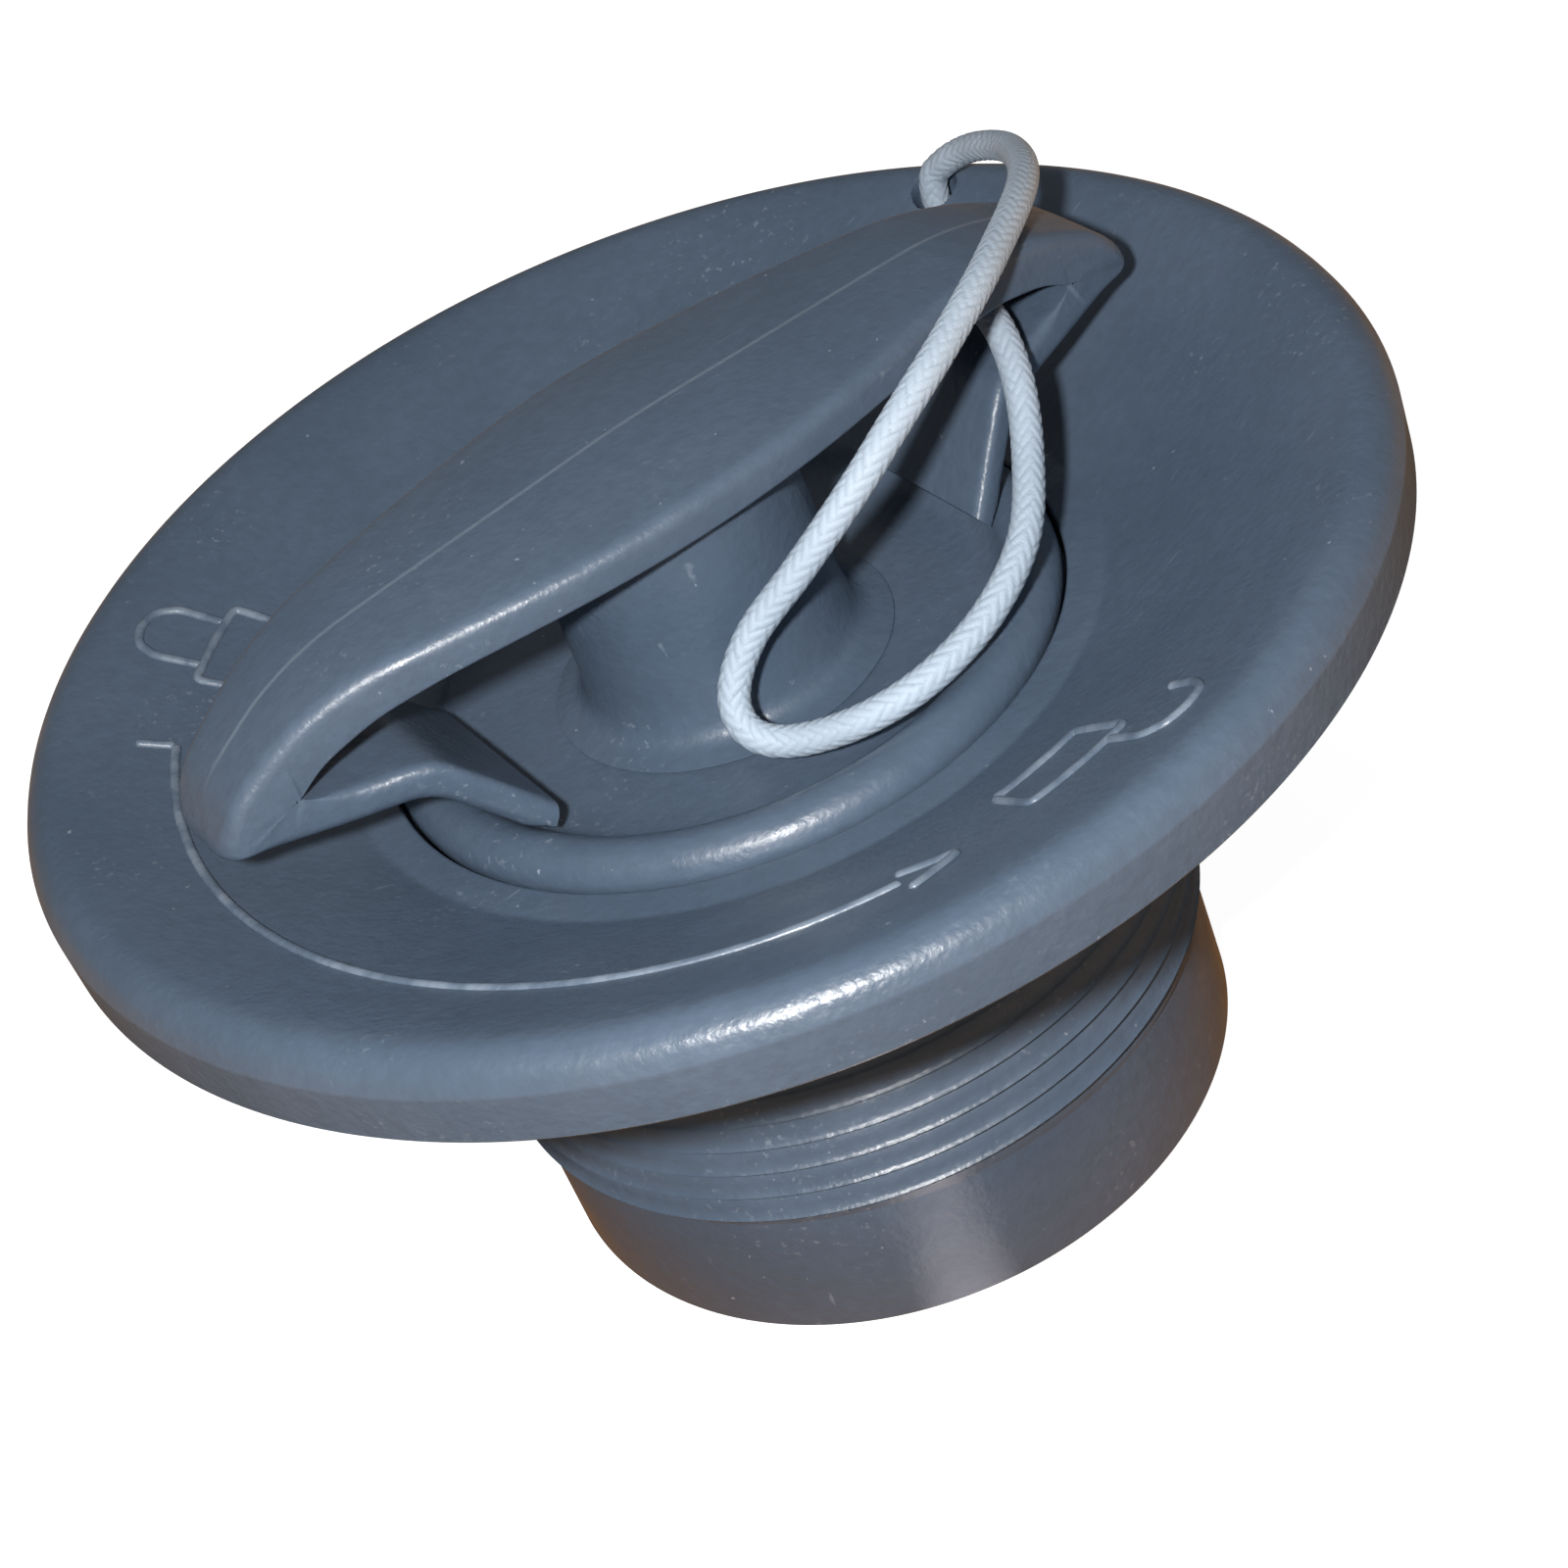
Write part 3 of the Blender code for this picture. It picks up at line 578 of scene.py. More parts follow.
def flange_grids(columns):
    """Top and underside of the flange as two surfaces of revolution."""
    top = [(BORE_R, POCKET_Z, 0), (POCKET_R, POCKET_Z, 0.2), (POCKET_R, BAND_Z, 0.35)]
    top += [(BAND_OUT_R, BAND_Z, 0.3), (DISH_OUT_R, DISH_OUT_Z, 1.6), (*RIM_TOP, 1.1)]
    top += [(*RIM_SHOULDER, 0.8), (RIM_R, RIM_CREASE_Z, 0.15), (RIM_R, SEAT_Z + RIM_EDGE, 0)]
    groove_out, groove_in = GASKET_OUT_R + GAP, GASKET_IN_R - GAP
    groove_z = GASKET_TOP_Z + GAP
    under = [(RIM_R, SEAT_Z + RIM_EDGE, 0), (RIM_R - 0.4, SEAT_Z, 0.4), (groove_out, SEAT_Z, 0.1)]
    under += [(groove_out, groove_z, 0.1), (groove_in, groove_z, 0.1), (groove_in, SEAT_Z, 0.1)]
    under += [(SEAT_IN_R, SEAT_Z, 0.2), (*CONE_FOOT, 1.0), (COLLAR_R, COLLAR_TOP_Z, 0.6)]
    under += [(COLLAR_R, COLLAR_LOW_Z, 0.1), (COLLAR_R - 0.5, COLLAR_LOW_Z - 0.3, 0)]
    angles = hole_angles(columns)
    top_grid = hole_pit(lathe(refine(soften(top), HOLE_STEP, 41.7, 46.0), angles), PIT_TOP)
    under_grid = hole_pit(lathe(refine(soften(under), HOLE_STEP, 41.9, 46.0), angles), -PIT_UNDER)
    return [(top_grid, True), (under_grid, True)]


def thread_grid(columns):
    """The thread: each row is one line of the helix, which rises one pitch in a turn. The radius
    follows the row's place in the pitch, a saw-tooth that grows downwards and is then undercut,
    and it fades to the plain neck at both ends."""
    place, radius = np.array(THREAD_SHAPE).T
    phase = (np.arange(THREAD_TURNS)[:, None] + place).ravel()
    radius = np.tile(radius, THREAD_TURNS)
    share = np.linspace(0, 1, columns + 1)
    height = THREAD_START_Z - PITCH * (phase[:, None] - share)
    fade = smoothstep(height, THREAD_LOW_Z - 0.5, THREAD_LOW_Z + 0.4)
    fade = fade * (1 - smoothstep(height, THREAD_TOP_Z - 1.6, THREAD_TOP_Z - 0.4))
    plain = SPIGOT_R - 0.08
    radius = plain + (radius[:, None] - plain) * fade
    turn = 2 * math.pi * share
    return np.stack([radius * np.cos(turn), radius * np.sin(turn), height], 2), False


def dish_place(points):
    """Places on the dish's cone for (radius, azimuth) points, and the cone's normals there."""
    radius, turn = points[:, 0], np.radians(points[:, 1])
    slope = (DISH_OUT_Z - BAND_Z) / (DISH_OUT_R - BAND_OUT_R)
    out = np.stack([np.cos(turn), np.sin(turn)], 1)
    height = BAND_Z + slope * (radius - BAND_OUT_R)
    normal = np.column_stack([-slope * out, np.ones_like(turn)]) / math.hypot(slope, 1)
    return np.column_stack([radius[:, None] * out, height]), normal


def stroke_grid(points):
    """A raised stroke on the dish: a half-round ridge swept along a line of (radius, azimuth)
    points, its corners eased and its ends rounded off."""
    line = np.array(points, float)
    corners, _ = dish_place(line)
    run = np.concatenate([[0], np.cumsum(np.linalg.norm(np.diff(corners, axis=0), axis=1))])
    at = np.linspace(0, run[-1], max(8, round(run[-1] / 0.12)))
    line = np.stack([np.interp(at, run, line[:, k]) for k in (0, 1)], 1)
    for _ in range(SIGN_EASE):
        line[1:-1] = (line[:-2] + line[1:-1] + line[2:]) / 3
    path, normal = dish_place(line)
    along = np.gradient(path, axis=0)
    side = np.cross(normal, along / np.linalg.norm(along, axis=1)[:, None])
    to_end = np.clip(np.minimum(at, at[-1] - at) / SIGN_HALF, 0, 1)
    swell = SIGN_HALF * np.sqrt(1 - (1 - to_end) ** 2)[:, None, None]
    turn = np.linspace(-0.5, math.pi + 0.5, 11)[:, None]
    ridge = np.cos(turn) * side[:, None] + SIGN_RISE * np.sin(turn) * normal[:, None]
    return path[:, None] + swell * ridge, False


def padlock(middle, shift):
    """The two strokes of a padlock sign; a shackle shifted sideways stands open."""
    low, high = LOCK_BODY_R
    left, right = middle - LOCK_BODY_DEG, middle + LOCK_BODY_DEG
    body = [(low, left), (high, left), (high, right), (low, right), (low, left)]
    near, far = middle + shift - SHACKLE_DEG, middle + shift + SHACKLE_DEG
    leg, shoulder, top = SHACKLE_R
    ease = SHACKLE_DEG / 3
    shackle = [(high, near), (leg, near), (shoulder, near + ease), (top, middle + shift)]
    shackle += [(shoulder, far - ease), (leg, far), (SHACKLE_OPEN_R if shift else high, far)]
    return [body, shackle]


def sign_grids():
    """A closed padlock, an open padlock and the arrow that leads from the first to the second."""
    start, end = ARROW_DEG
    arrow = [(ARROW_R, turn) for turn in np.linspace(start, end, 90)]
    tick = [(ARROW_R, start), (ARROW_TICK_R, start)]
    barb_out, barb_in = ARROW_BARBS_R
    head = [(barb_out, end), (ARROW_R, ARROW_TIP_DEG), (barb_in, end)]
    strokes = [arrow, tick, head] + padlock(CLOSED_LOCK_DEG, 0.0) + padlock(OPEN_LOCK_DEG, OPEN_SHIFT_DEG)
    return [stroke_grid(points) for points in strokes]


def neck_grids(columns):
    """Spigot, bore and the two ledges. The bore's radius is drawn in over each ledge's angles."""
    angles = circle(columns)
    outside = [(SPIGOT_R - 0.5, THREAD_LOW_Z + 0.6, 0), (SPIGOT_R, THREAD_LOW_Z + 0.2, 0.2)]
    outside += [(SPIGOT_R, SPIGOT_BEVEL, 0.1), (SPIGOT_R - SPIGOT_BEVEL, 0.0, 0.3)]
    outside += [(BORE_R + 0.5, 0.0, 0.3), (BORE_R, 0.5, 0)]
    off = (np.degrees(angles) - LEDGE_MID_DEG + 90.0) % 180.0 - 90.0
    drawn = np.where(np.abs(off) <= LEDGE_HALF_DEG, LEDGE_R, BORE_R)
    rows = [(BORE_R, 0.5), (BORE_R, LEDGE_LOW_Z - 0.3), (None, LEDGE_LOW_Z - 0.05)]
    rows += [(None, LEDGE_TOP_Z), (BORE_R, LEDGE_TOP_Z + 0.3), (BORE_R, POCKET_Z)]
    inside = []
    for radius, height in rows:
        reach = drawn if radius is None else np.full(columns, radius)
        inside.append(level_ring(reach, angles, height))
    return [(lathe(soften(outside), angles), True), (np.array(inside), True)]


def lid_outline():
    """Dish, rolled rim, skirt with its seal groove, underside and boss, clockwise from the middle."""
    turn = np.radians(np.linspace(*ROLL_SWEEP_DEG, 22))
    start = [(LID_HOLE_R, LID_TOP_Z, 0), (LID_FLAT_R, LID_TOP_Z, 1.5), (*LID_RISE, 0.8)]
    roll = [(ROLL_R + ROLL_TUBE_R * math.cos(a), ROLL_Z + ROLL_TUBE_R * math.sin(a), 0) for a in turn]
    skirt = [(SKIRT_OUT_R, SKIRT_TOP_Z, 0.1), (SKIRT_OUT_R, GROOVE_TOP_Z, 0.1)]
    skirt += [(GROOVE_R, GROOVE_TOP_Z, 0.1), (GROOVE_R, GROOVE_LOW_Z, 0.1)]
    skirt += [(SKIRT_OUT_R, GROOVE_LOW_Z, 0.1), (SKIRT_OUT_R, SKIRT_LOW_Z, 0.4)]
    skirt += [(SKIRT_IN_R, SKIRT_LOW_Z, 0.3), (SKIRT_IN_R, LID_UNDER_Z, 0.6)]
    boss = [(BOSS_R, LID_UNDER_Z, 0.6), (BOSS_R, BOSS_LOW_Z, 0.3)]
    boss += [(LID_HOLE_R, BOSS_LOW_Z, 0.2), (LID_HOLE_R, LID_TOP_Z, 0)]
    return soften(start + roll + skirt + boss)


def leaf_half_width(x):
    """Half of the handle's width at x: a leaf that narrows in a smooth wave to blunt, rounded tips."""
    share = np.clip(np.abs(x) / LEAF_TAPER_X, 0, 1)
    wave = (0.5 + 0.5 * np.cos(math.pi * share)) ** LEAF_POWER
    over = np.clip(np.abs(x) - TIP_X + TIP_ROUND, 0, TIP_ROUND)
    cut_off = TIP_ROUND - np.sqrt(TIP_ROUND**2 - over**2)
    return END_HALF_Y + (LEAF_HALF_Y - END_HALF_Y) * wave - cut_off


def curve_through(points, step):
    """Points about one step apart on a smooth curve through given points, and its length."""
    route = np.array(points, float)
    ends = np.vstack([2 * route[0] - route[1], route, 2 * route[-1] - route[-2]])
    share = np.linspace(0, 1, 20, endpoint=False)[:, None]
    parts = []
    for a, b, c, d in zip(ends[:-3], ends[1:-2], ends[2:-1], ends[3:]):
        bend = (2 * a - 5 * b + 4 * c - d) * share**2 + (3 * b - a - 3 * c + d) * share**3
        parts.append(0.5 * (2 * b + (c - a) * share + bend))
    fine = np.vstack(parts + [route[-1:]])
    run = np.concatenate([[0], np.cumsum(np.linalg.norm(np.diff(fine, axis=0), axis=1))])
    places = np.linspace(0, run[-1], round(run[-1] / step) + 1)
    even = np.stack([np.interp(places, run, fine[:, k]) for k in range(fine.shape[1])], 1)
    return even, run[-1]


def side_height(x, points):
    """Height at x of one smooth line of the handle's side view."""
    line, _ = curve_through(points, 0.2)
    return np.interp(x, line[:, 0], line[:, 1])


def strap_stations():
    """The right half of the handle's strap, from its middle to its foot. Each station holds an
    outer point, an inner point (both x and z), the inner edge's radius and how much crown it has."""
    fold_x, fold_z = UNDER_OUT[-1]
    x = fold_x * np.sin(np.linspace(0, math.pi / 2, 44))
    outer = np.stack([x, side_height(x, CREST_IN + CREST_OUT)], 1)
    inner = np.stack([x, side_height(x, UNDER_IN + UNDER_OUT)], 1)
    edge = INNER_EDGE_R * (1 - smoothstep(x, fold_x - 4, fold_x - 0.2))
    plate = np.column_stack([outer, inner, edge, np.ones_like(x)])

    nose_x = fold_x + (TIP_X - fold_x) * np.sin(np.linspace(0, math.pi / 2, 14))[1:]
    nose = np.stack([nose_x, side_height(nose_x, CREST_IN + CREST_OUT)], 1)
    chin, _ = curve_through(NOSE, 0.3)
    nose = np.vstack([nose, chin[1:]])
    hinge = np.broadcast_to((fold_x, fold_z), nose.shape)
    crown = 1 - smoothstep(np.arange(len(nose)), 4, len(nose) - 4)
    nose = np.column_stack([nose, hinge, np.zeros(len(nose)), crown])

    arm, _ = curve_through(np.column_stack([ARM_LOW_OUT + ARM_LOW_IN, ARM_TOP_OUT + ARM_TOP_IN]), 0.5)
    edge = ARM_EDGE_R * smoothstep(fold_x - arm[:, 2], 0.2, 4.0)
    arm = np.column_stack([arm, edge, np.zeros(len(arm))])
    return np.vstack([plate, nose, arm[1:]])


def strap_grid():
    """The whole strap: at every station a rounded rectangle is drawn across it, its flat sides
    from the inner to the outer point. Its width along Y follows the leaf at each point's own x,
    its crown lowers it towards both edges, and its feet are lifted clear of the lid's rolled rim."""
    half = strap_stations()
    mirrored = half[:0:-1] * (-1, 1, -1, 1, 1, 1)
    stations = np.vstack([mirrored, half])
    outer, inner = stations[:, 0:2], stations[:, 2:4]
    inner_edge, crown = stations[:, 4, None], stations[:, 5, None]
    middle, reach = (outer + inner) / 2, outer - inner
    thick = np.linalg.norm(reach, axis=1)[:, None]
    way = reach / thick
    outer_edge = np.minimum(OUTER_EDGE_R, thick * 0.4)
    turn = np.linspace(0, math.pi / 2, 7)
    face = np.linspace(-1, 1, 21)[1:-1]
    columns = []
    for sign_a, sign_b, start in ((1, 1, 0), (-1, 1, 1), (-1, -1, 2), (1, -1, 3)):
        edge = outer_edge if sign_a > 0 else inner_edge
        for angle in turn + start * math.pi / 2:
            across = sign_a * (thick / 2 - edge) + edge * math.cos(angle)
            columns.append((across, sign_b, edge, math.sin(angle)))
        if start in (1, 3):
            columns.extend((sign_a * thick / 2, side * sign_b * -1, edge, 0.0) for side in face)
    across = np.hstack([column[0] for column in columns])
    share = np.array([column[1] for column in columns])
    edge = np.hstack([column[2] for column in columns])
    swell = np.array([column[3] for column in columns])
    x = middle[:, :1] + way[:, :1] * across
    y = share * (leaf_half_width(x) - edge) + edge * swell
    z = middle[:, 1:] + way[:, 1:] * across - CROWN_DROP * crown * (y / LEAF_HALF_Y) ** 2
    away = np.hypot(x, y) - ROLL_R
    roll_top = ROLL_Z + np.sqrt(np.clip((ROLL_TUBE_R + FOOT_GAP) ** 2 - away**2, 0, None))
    z = np.where(np.abs(away) < ROLL_TUBE_R + FOOT_GAP, np.maximum(z, roll_top), z)
    grid = np.stack([x, y, z], 2)
    caps = [np.broadcast_to(row.mean(0), (1, *row.shape)) for row in (grid[0], grid[-1])]
    return np.concatenate([caps[0], grid, caps[1]]), True


def column_outline():
    """The handle's column, flared where it meets the plate and thinly at its foot."""
    return soften(COLUMN_SIDE + COLUMN_FOOT + COLUMN_SOCKET)


def ring_outline(in_r, out_r, low_z, top_z, cut):
    """A flat ring's outline, clockwise and closed, with rounded corners."""
    corners = [((in_r + out_r) / 2, top_z, 0), (out_r, top_z, cut), (out_r, low_z, cut)]
    corners += [(in_r, low_z, cut), (in_r, top_z, cut), ((in_r + out_r) / 2, top_z, 0)]
    return soften(corners)


def tube_outline(mid_r, mid_z, tube_r):
    """A round seal's outline, clockwise and closed."""
    turn = np.linspace(math.pi / 2, -1.5 * math.pi, 25)
    return np.column_stack([mid_r + tube_r * np.cos(turn), mid_z + tube_r * np.sin(turn)])


def bar_grid(columns=240):
    """The lock bar: a hub with two arms. The reach at each angle is the further of the hub's
    circle and the arms' sides, up to the arms' round ends."""
    angles = circle(columns)
    off = np.abs((np.degrees(angles) + 90.0) % 180.0 - 90.0)
    side = BAR_HALF_Y / np.maximum(np.sin(np.radians(np.maximum(off, 0.01))), 1e-4)
    reach = np.maximum(np.minimum(BAR_REACH, side), BAR_HUB_R)
    section = [(0, BAR_TOP_Z), (0.98, BAR_TOP_Z), (1, BAR_TOP_Z - BAR_BEVEL)]
    section += [(1, BAR_LOW_Z + BAR_BEVEL), (0.98, BAR_LOW_Z), (0, BAR_LOW_Z), (0, BAR_TOP_Z)]
    rows = []
    for share, height in section:
        rows.append(level_ring(BAR_HOLE_R + (reach - BAR_HOLE_R) * share, angles, height))
    return np.array(rows), True


def screw_outline():
    """A round screw head seen from below, with its socket, and the shank above it."""
    return soften(SCREW_SHANK + SCREW_HEAD + SCREW_SOCKET)


def frames_along(path):
    """Unit vectors along a path and two across it, carried along without twisting."""
    along = np.gradient(path, axis=0)
    along /= np.linalg.norm(along, axis=1)[:, None]
    first = np.cross(along[0], (1.0, 0.3, 0.2))
    first /= np.linalg.norm(first)
    side = np.empty_like(path)
    for i, way in enumerate(along):
        first = first - way * (first @ way)
        first /= np.linalg.norm(first)
        side[i] = first
    return along, side, np.cross(along, side)


def braid_height(run, turn, diameter):
    """Height of the braid, 0 to 1. Two sets of strands wind opposite ways, and at each place the
    set on top is chosen by a herringbone of two strands over and two under."""
    pitch = BRAID_PITCH * diameter
    right = STRANDS * turn / (2 * math.pi) + STRANDS * run / pitch
    left = STRANDS * turn / (2 * math.pi) - STRANDS * run / pitch
    over = (np.floor(right) + np.floor(left)) % 4 < 2
    top = np.where(over, right, left)
    return np.abs(np.sin(np.pi * top)) ** BRAID_FULLNESS


def add_weave(obj, values):
    """Stores the braid's height on the points, for the material."""
    layer = obj.data.attributes.new("weave", "FLOAT", "POINT")
    layer.data.foreach_set("value", np.asarray(values, np.float32).ravel())


def cord_grid(settings):
    """The cord's tube: rings across the route, swelled by the braid's height."""
    path, length = curve_through(CORD_ROUTE, 0.15)
    path = path[::-1]
    run = np.linspace(0, length, len(path))
    turn = circle(settings.cord_columns)
    diameter = settings.cord_diameter * 1000
    weave = braid_height(run[:, None], turn[None, :], diameter)
    relief = settings.weave_height * 1000
    radius = diameter / 2 - relief * (1 - weave)
    _, side, up = frames_along(path)
    ring = side[:, None] * np.cos(turn)[:, None] + up[:, None] * np.sin(turn)[:, None]
    points = path[:, None] + ring * radius[..., None]
    caps = [np.broadcast_to(place, points[0].shape) for place in (path[0], path[-1])]
    points = np.concatenate([caps[0][None], points, caps[1][None]])
    return points, path, length


def knot_grid(place, lying):
    """A tight stop knot: a barrel wound by three turns of cord, each turn a round ridge. It stands
    along Z, or lies along Y."""
    turn = circle(96)
    height = np.linspace(1, -1, 90)[:, None]
    body = (1 - np.abs(height) ** 3.2) ** 0.45
    ridge = np.abs(np.sin(np.pi * (height * 1.5 + turn / (2 * math.pi)))) ** 0.8
    weave = braid_height(height * KNOT_H * 1.3 + turn * 2.0, turn + 0 * height, 2.2)
    radius = body * (KNOT_R - KNOT_GROOVE * (1 - ridge) - KNOT_RELIEF * (1 - weave))
    x, y = radius * np.cos(turn), radius * np.sin(turn)
    z = KNOT_H / 2 * height + 0 * turn
    local = np.stack([x, -z, y] if lying else [x, y, z], 2)
    return local + np.array(place)


class DeckCapSettings(bpy.types.PropertyGroup):
    """Sizes and looks that the operators read."""

    flange_columns: IntProperty(
        name="Flange columns", description="Columns of the grids round the neck's axis", default=300, min=48
    )
    plastic_roughness: FloatProperty(
        name="Plastic roughness",
        description="Mean roughness of the moulded plastic",
        default=0.36,
        min=0.1,
        max=0.9,
    )
    cord_diameter: FloatProperty(
        name="Cord diameter", description="Diameter of the braided cord", default=0.0022, unit="LENGTH"
    )
    cord_columns: IntProperty(name="Cord columns", description="Columns round the cord", default=56, min=12)
    weave_height: FloatProperty(
        name="Weave height", description="Depth of the dips between strands", default=0.00011, unit="LENGTH"
    )
    key_power: FloatProperty(
        name="Key light", description="Power of the light beside the camera", default=2.6
    )
    fill_power: FloatProperty(name="Fill light", description="Power of the overhead light", default=0.06)
    room_light: FloatProperty(
        name="Room light", description="Strength of the even light all round", default=0.18
    )


class CAP_OT_flange(bpy.types.Operator):
    """Builds the flange, its thread, spigot, bore, ledges and moulded signs"""

    bl_idname = "cap.flange"
    bl_label = "Flange and neck"

    def execute(self, context):
        settings = context.scene.deck_cap
        columns = settings.flange_columns
        plastic = material("moulded_plastic")
        grids = flange_grids(columns)
        piece("flange_skin", grids, "flange", plastic, nodes=("deck_flange",))
        grids = [thread_grid(columns)] + neck_grids(columns)
        piece("neck_skin", grids, "flange", plastic, 45.0)
        piece("sign_skin", sign_grids(), "flange", material("sign_wear_sheen_plastic"), 80.0)
        return {"FINISHED"}


class CAP_OT_lid(bpy.types.Operator):
    """Builds the dished lid with its rolled rim"""

    bl_idname = "cap.lid"
    bl_label = "Lid"

    def execute(self, context):
        grid = lathe(lid_outline(), circle(context.scene.deck_cap.flange_columns))
        piece("lid_skin", [(grid, True)], "lid", material("moulded_plastic"), nodes=("lid",))
        return {"FINISHED"}


class CAP_OT_handle(bpy.types.Operator):
    """Builds the wing handle's strap and column"""

    bl_idname = "cap.handle"
    bl_label = "Wing handle"

    def execute(self, context):
        grids = [strap_grid(), (lathe(column_outline(), circle(160)), True)]
        plastic = material("handle_plastic")
        piece("handle_skin", grids, "handle", plastic, nodes=("wing_handle",))
        return {"FINISHED"}


class CAP_OT_seals(bpy.types.Operator):
    """Builds the deck gasket and the two round seals"""

    bl_idname = "cap.seals"
    bl_label = "Seals"

    def execute(self, context):
        angles = circle(160)
        gasket = ring_outline(GASKET_IN_R, GASKET_OUT_R, SEAT_Z, GASKET_TOP_Z, 0.2)
        rings = (
            ("gasket_skin", gasket, "flange", "deck_gasket"),
            ("lid_seal_skin", tube_outline(*LID_SEAL), "lid", "lid_o_ring"),
            ("spindle_seal_skin", tube_outline(*SPINDLE_SEAL), "lid", "spindle_o_ring"),
        )
        for name, outline, body, node in rings:
            grid = lathe(outline, angles)
            piece(name, [(grid, True)], body, material("seal_rubber"), nodes=(node,))
        return {"FINISHED"}


class CAP_OT_lock(bpy.types.Operator):
    """Builds the spindle, lock bar, washer and screw"""

    bl_idname = "cap.lock"
    bl_label = "Lock"

    def execute(self, context):
        angles = circle(96)
        steel, plastic = material("turned_steel"), material("moulded_plastic")
        turned = (
            ("spindle_skin", soften(SPINDLE_TOP + SPINDLE_BORE), "spindle"),
            ("washer_skin", ring_outline(*WASHER_R, *WASHER_Z, 0.2), "lock_washer"),
            ("screw_skin", screw_outline(), "lock_screw"),
        )
        for name, outline, node in turned:
            piece(name, [(lathe(outline, angles), True)], "handle", steel, nodes=(node,))
        piece("bar_skin", [bar_grid()], "handle", plastic, nodes=("lock_bar",))
        return {"FINISHED"}


class CAP_OT_cord(bpy.types.Operator):
    """Builds the braided cord and its two stop knots"""

    bl_idname = "cap.cord"
    bl_label = "Cord"

    def execute(self, context):
        settings = context.scene.deck_cap
        braid = material("braid")
        points, path, length = cord_grid(settings)
        cord = piece("cord_skin", [(points, True)], None, braid, 80.0, ("tether_cord",))
        self.weave(cord, path)
        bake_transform(cord)
        for name, place, lying, body, node in (
            ("stop_knot_skin", STOP_KNOT, False, "lid", "stop_knot"),
            ("handle_knot_skin", HANDLE_KNOT, True, "handle", "handle_knot"),
        ):
            knot = piece(name, [(knot_grid(place, lying), True)], body, braid, 80.0, (node,))
            local = vertex_places(knot) * 1000 - np.array(place)
            away = np.linalg.norm(local[:, [0, 2]] if lying else local[:, :2], axis=1)
            # painted shade: the weave is 0 in the grooves between the knot's turns, where the braid's
            # material darkens it
            add_weave(knot, smoothstep(away, KNOT_R - 1.0, KNOT_R - 0.1))
        return {"FINISHED"}

    def weave(self, cord, path):
        """Reads the braid's height back from each point's distance to the cord's line."""
        settings = bpy.context.scene.deck_cap
        columns = settings.cord_columns
        places = vertex_places(cord) * 1000
        values = np.ones(len(places))
        rings = places[1:-1].reshape(-1, columns, 3)
        away = np.linalg.norm(rings - path[:, None], axis=2)
        relief = settings.weave_height * 1000
        values[1:-1] = 1 - ((settings.cord_diameter * 500 - away) / relief).ravel()
        add_weave(cord, values)


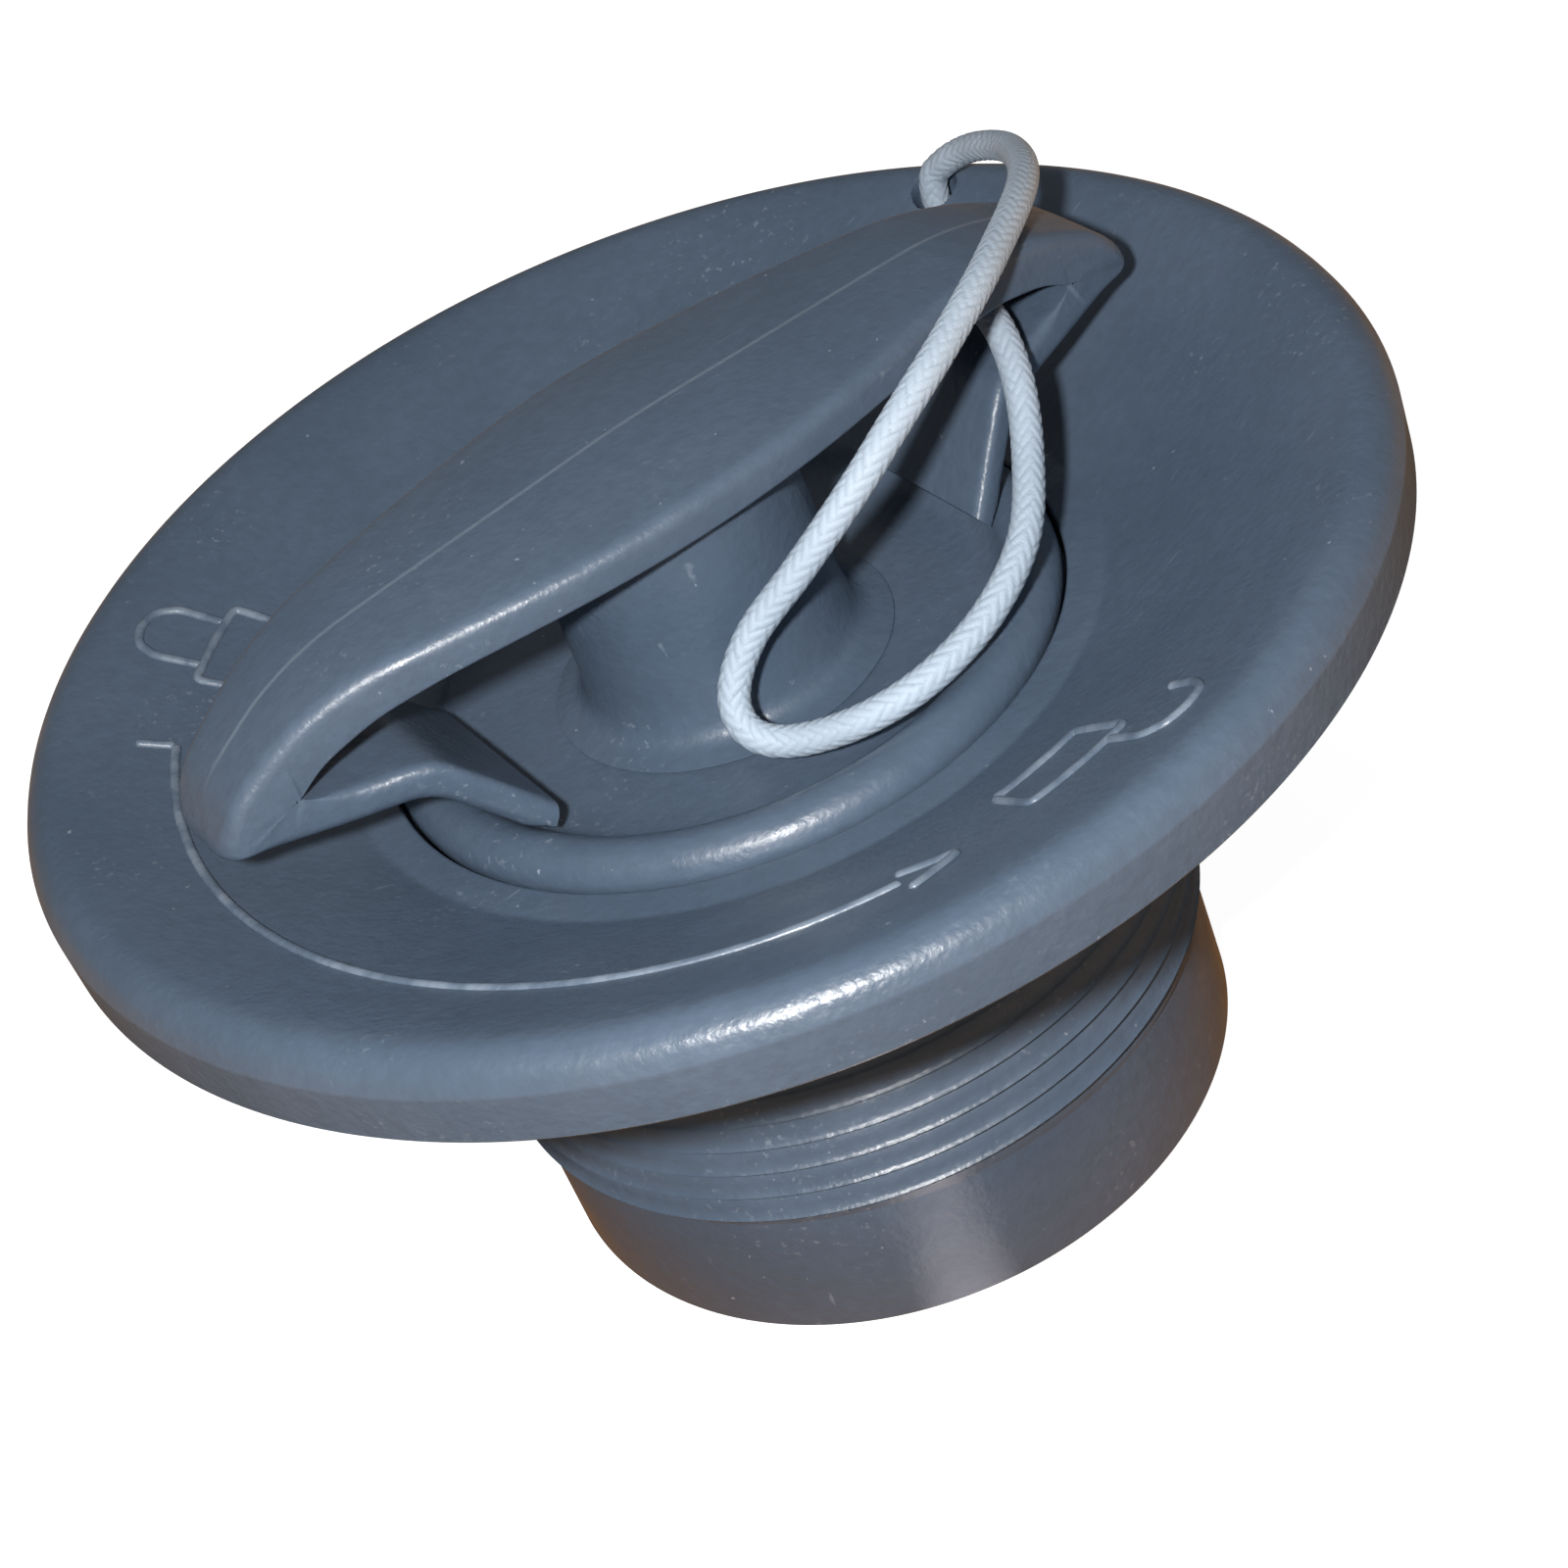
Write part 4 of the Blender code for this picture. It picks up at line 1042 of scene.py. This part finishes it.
class CAP_OT_stage(bpy.types.Operator):
    """Sets the floor, the white surroundings, the lights and the camera"""

    bl_idname = "cap.stage"
    bl_label = "Stage"

    def execute(self, context):
        settings = context.scene.deck_cap
        floor_mesh = bpy.data.meshes.new("floor")
        corners = [(-FLOOR_HALF, -FLOOR_HALF, 0), (FLOOR_HALF, -FLOOR_HALF, 0)]
        corners += [(FLOOR_HALF, FLOOR_HALF, 0), (-FLOOR_HALF, FLOOR_HALF, 0)]
        floor_mesh.from_pydata(mm(corners), [], [(0, 1, 2, 3)])
        floor = bpy.data.objects.new("floor", floor_mesh)
        context.scene.collection.objects.link(floor)
        floor_mesh.materials.append(self.floor_material())
        self.surroundings(context.scene, settings.room_light)
        self.flash(settings.key_power)
        self.overhead(settings.fill_power)
        self.camera(context)
        context.scene.view_settings.view_transform = "Standard"
        return {"FINISHED"}

    def floor_material(self):
        """White to the camera, where it still takes the shadow. To the part it gives warm light,
        strong at the spigot's foot, dark where the flange shades it and strong again further out.
        Mirrored in the part, it is dimmer and has a short bright streak that runs to the spigot."""
        shader = Shader("pale_floor")
        path = shader.add("ShaderNodeLightPath")
        seen, glossy = path.outputs["Is Camera Ray"], path.outputs["Is Glossy Ray"]
        glow = shader.add("ShaderNodeEmission")
        glow.inputs["Strength"].default_value = FLOOR_GLOW
        paper = shader.add("ShaderNodeBsdfDiffuse")
        paper.inputs["Color"].default_value = (FLOOR_GREY, FLOOR_GREY, FLOOR_GREY, 1.0)
        bounce = shader.add("ShaderNodeEmission")
        away = shader.add("ShaderNodeVectorMath", operation="LENGTH")
        shader.join(shader.place, away.inputs[0])
        away = away.outputs["Value"]
        warm = shader.mix(shader.span(away, *mm(SHADE_STARTS), 0.0, 1.0), WARM_NEAR, WARM_SHADE)
        warm = shader.mix(shader.span(away, *mm(FAR_STARTS), 0.0, 1.0), warm, WARM_FAR)
        warm = shader.mix(glossy, warm, (WARM_SHINE,) * 3, "MULTIPLY")
        warm = shader.mix(shader.times(glossy, self.streak(shader, away)), warm, STREAK_TONE)
        shader.join(warm, bounce.inputs["Color"])
        white = shader.add("ShaderNodeAddShader")
        either = shader.add("ShaderNodeMixShader")
        shader.join(glow.outputs[0], white.inputs[0])
        shader.join(paper.outputs[0], white.inputs[1])
        shader.join(seen, either.inputs[0])
        shader.join(bounce.outputs[0], either.inputs[1])
        shader.join(white.outputs[0], either.inputs[2])
        shader.join(either.outputs[0], shader.tree.nodes["Material Output"].inputs["Surface"])
        return shader.material

    def streak(self, shader, away):
        """1 on the floor's line out from the spigot at the streak's angle, 0 beside and beyond it."""
        way = shader.add("ShaderNodeVectorMath", operation="NORMALIZE")
        shader.join(shader.place, way.inputs[0])
        along = shader.add("ShaderNodeVectorMath", operation="DOT_PRODUCT")
        shader.join(way.outputs["Vector"], along.inputs[0])
        turn = math.radians(STREAK_DEG)
        along.inputs[1].default_value = (math.cos(turn), math.sin(turn), 0.0)
        inside = shader.span(along.outputs["Value"], math.cos(math.radians(STREAK_HALF_DEG)), 1.0, 0.0, 1.0)
        return shader.times(inside, shader.span(away, *mm(STREAK_ENDS), 1.0, 0.0))

    def surroundings(self, scene, strength):
        """A white background for the camera and a dimmer, even room light for the part."""
        world = bpy.data.worlds.new("white_room")
        scene.world = world
        world.use_nodes = True
        tree = world.node_tree
        room = tree.nodes["Background"]
        room.inputs["Color"].default_value = (*ROOM_TONE, 1.0)
        room.inputs["Strength"].default_value = strength
        white = tree.nodes.new("ShaderNodeBackground")
        white.inputs["Color"].default_value = (1.0, 1.0, 1.0, 1.0)
        either = tree.nodes.new("ShaderNodeMixShader")
        path = tree.nodes.new("ShaderNodeLightPath")
        tree.links.new(path.outputs["Is Camera Ray"], either.inputs[0])
        tree.links.new(room.outputs[0], either.inputs[1])
        tree.links.new(white.outputs[0], either.inputs[2])
        tree.links.new(either.outputs[0], tree.nodes["World Output"].inputs["Surface"])

    def flash(self, power):
        """A small spot light to the left of the camera, aimed at the near side."""
        data = bpy.data.lights.new("flash", "SPOT")
        data.energy = power
        data.color = FLASH_TONE
        data.spot_size = math.radians(FLASH_SPREAD_DEG)
        data.spot_blend = 1.0
        data.shadow_soft_size = FLASH_R * 0.001
        self.place_lamp(data, FLASH_AT, FLASH_AIM)

    def overhead(self, power):
        """A wide, weak area light above the flange."""
        data = bpy.data.lights.new("overhead", "AREA")
        data.size = OVERHEAD_SIDE * 0.001
        data.energy = power
        data.color = OVERHEAD_TONE
        self.place_lamp(data, OVERHEAD_AT, OVERHEAD_AIM)

    def place_lamp(self, data, place, aim):
        """Puts a light at a place and turns it to a point."""
        lamp = bpy.data.objects.new(data.name, data)
        lamp.location = mm(place)
        lamp.rotation_euler = Vector(mm(aim) - mm(place)).to_track_quat("-Z", "Y").to_euler()
        bpy.context.scene.collection.objects.link(lamp)

    def camera(self, context):
        """The photograph's viewpoint, with its right and up directions squared to each other."""
        data = bpy.data.cameras.new("camera")
        data.lens = LENS_MM
        data.sensor_width = SENSOR_MM
        data.clip_start = 0.01
        camera = bpy.data.objects.new("camera", data)
        right, up = Vector(CAMERA_RIGHT).normalized(), Vector(CAMERA_UP)
        back = right.cross(up).normalized()
        up = back.cross(right)
        turn = Matrix((right, up, back)).transposed().to_4x4()
        camera.matrix_world = Matrix.Translation(Vector(mm(CAMERA_AT))) @ turn
        context.scene.collection.objects.link(camera)
        context.scene.camera = camera


class CAP_PT_panel(bpy.types.Panel):
    """The cap's settings and build steps in the sidebar"""

    bl_label = "Deck cap"
    bl_idname = "CAP_PT_panel"
    bl_space_type = "VIEW_3D"
    bl_region_type = "UI"
    bl_category = "Deck cap"

    def draw(self, context):
        settings = context.scene.deck_cap
        for key in settings.__annotations__:
            self.layout.prop(settings, key)
        for step in STEPS:
            self.layout.operator(step.bl_idname)


STEPS = (CAP_OT_flange, CAP_OT_lid, CAP_OT_handle, CAP_OT_seals, CAP_OT_lock, CAP_OT_cord, CAP_OT_stage)
CLASSES = (DeckCapSettings, *STEPS, CAP_PT_panel)


def vertex_places(obj):
    """The mesh's points as an array in metres."""
    places = np.empty(len(obj.data.vertices) * 3)
    obj.data.vertices.foreach_get("co", places)
    return places.reshape(-1, 3)


def register():
    for cls in CLASSES:
        bpy.utils.register_class(cls)
    bpy.types.Scene.deck_cap = PointerProperty(type=DeckCapSettings)


def unregister():
    del bpy.types.Scene.deck_cap
    for cls in reversed(CLASSES):
        bpy.utils.unregister_class(cls)


def main():
    """Runs every step in order."""
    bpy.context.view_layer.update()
    register()
    bpy.ops.cap.flange()
    bpy.ops.cap.lid()
    bpy.ops.cap.handle()
    bpy.ops.cap.seals()
    bpy.ops.cap.lock()
    bpy.ops.cap.cord()
    bpy.ops.cap.stage()


if __name__ == "__main__":
    main()
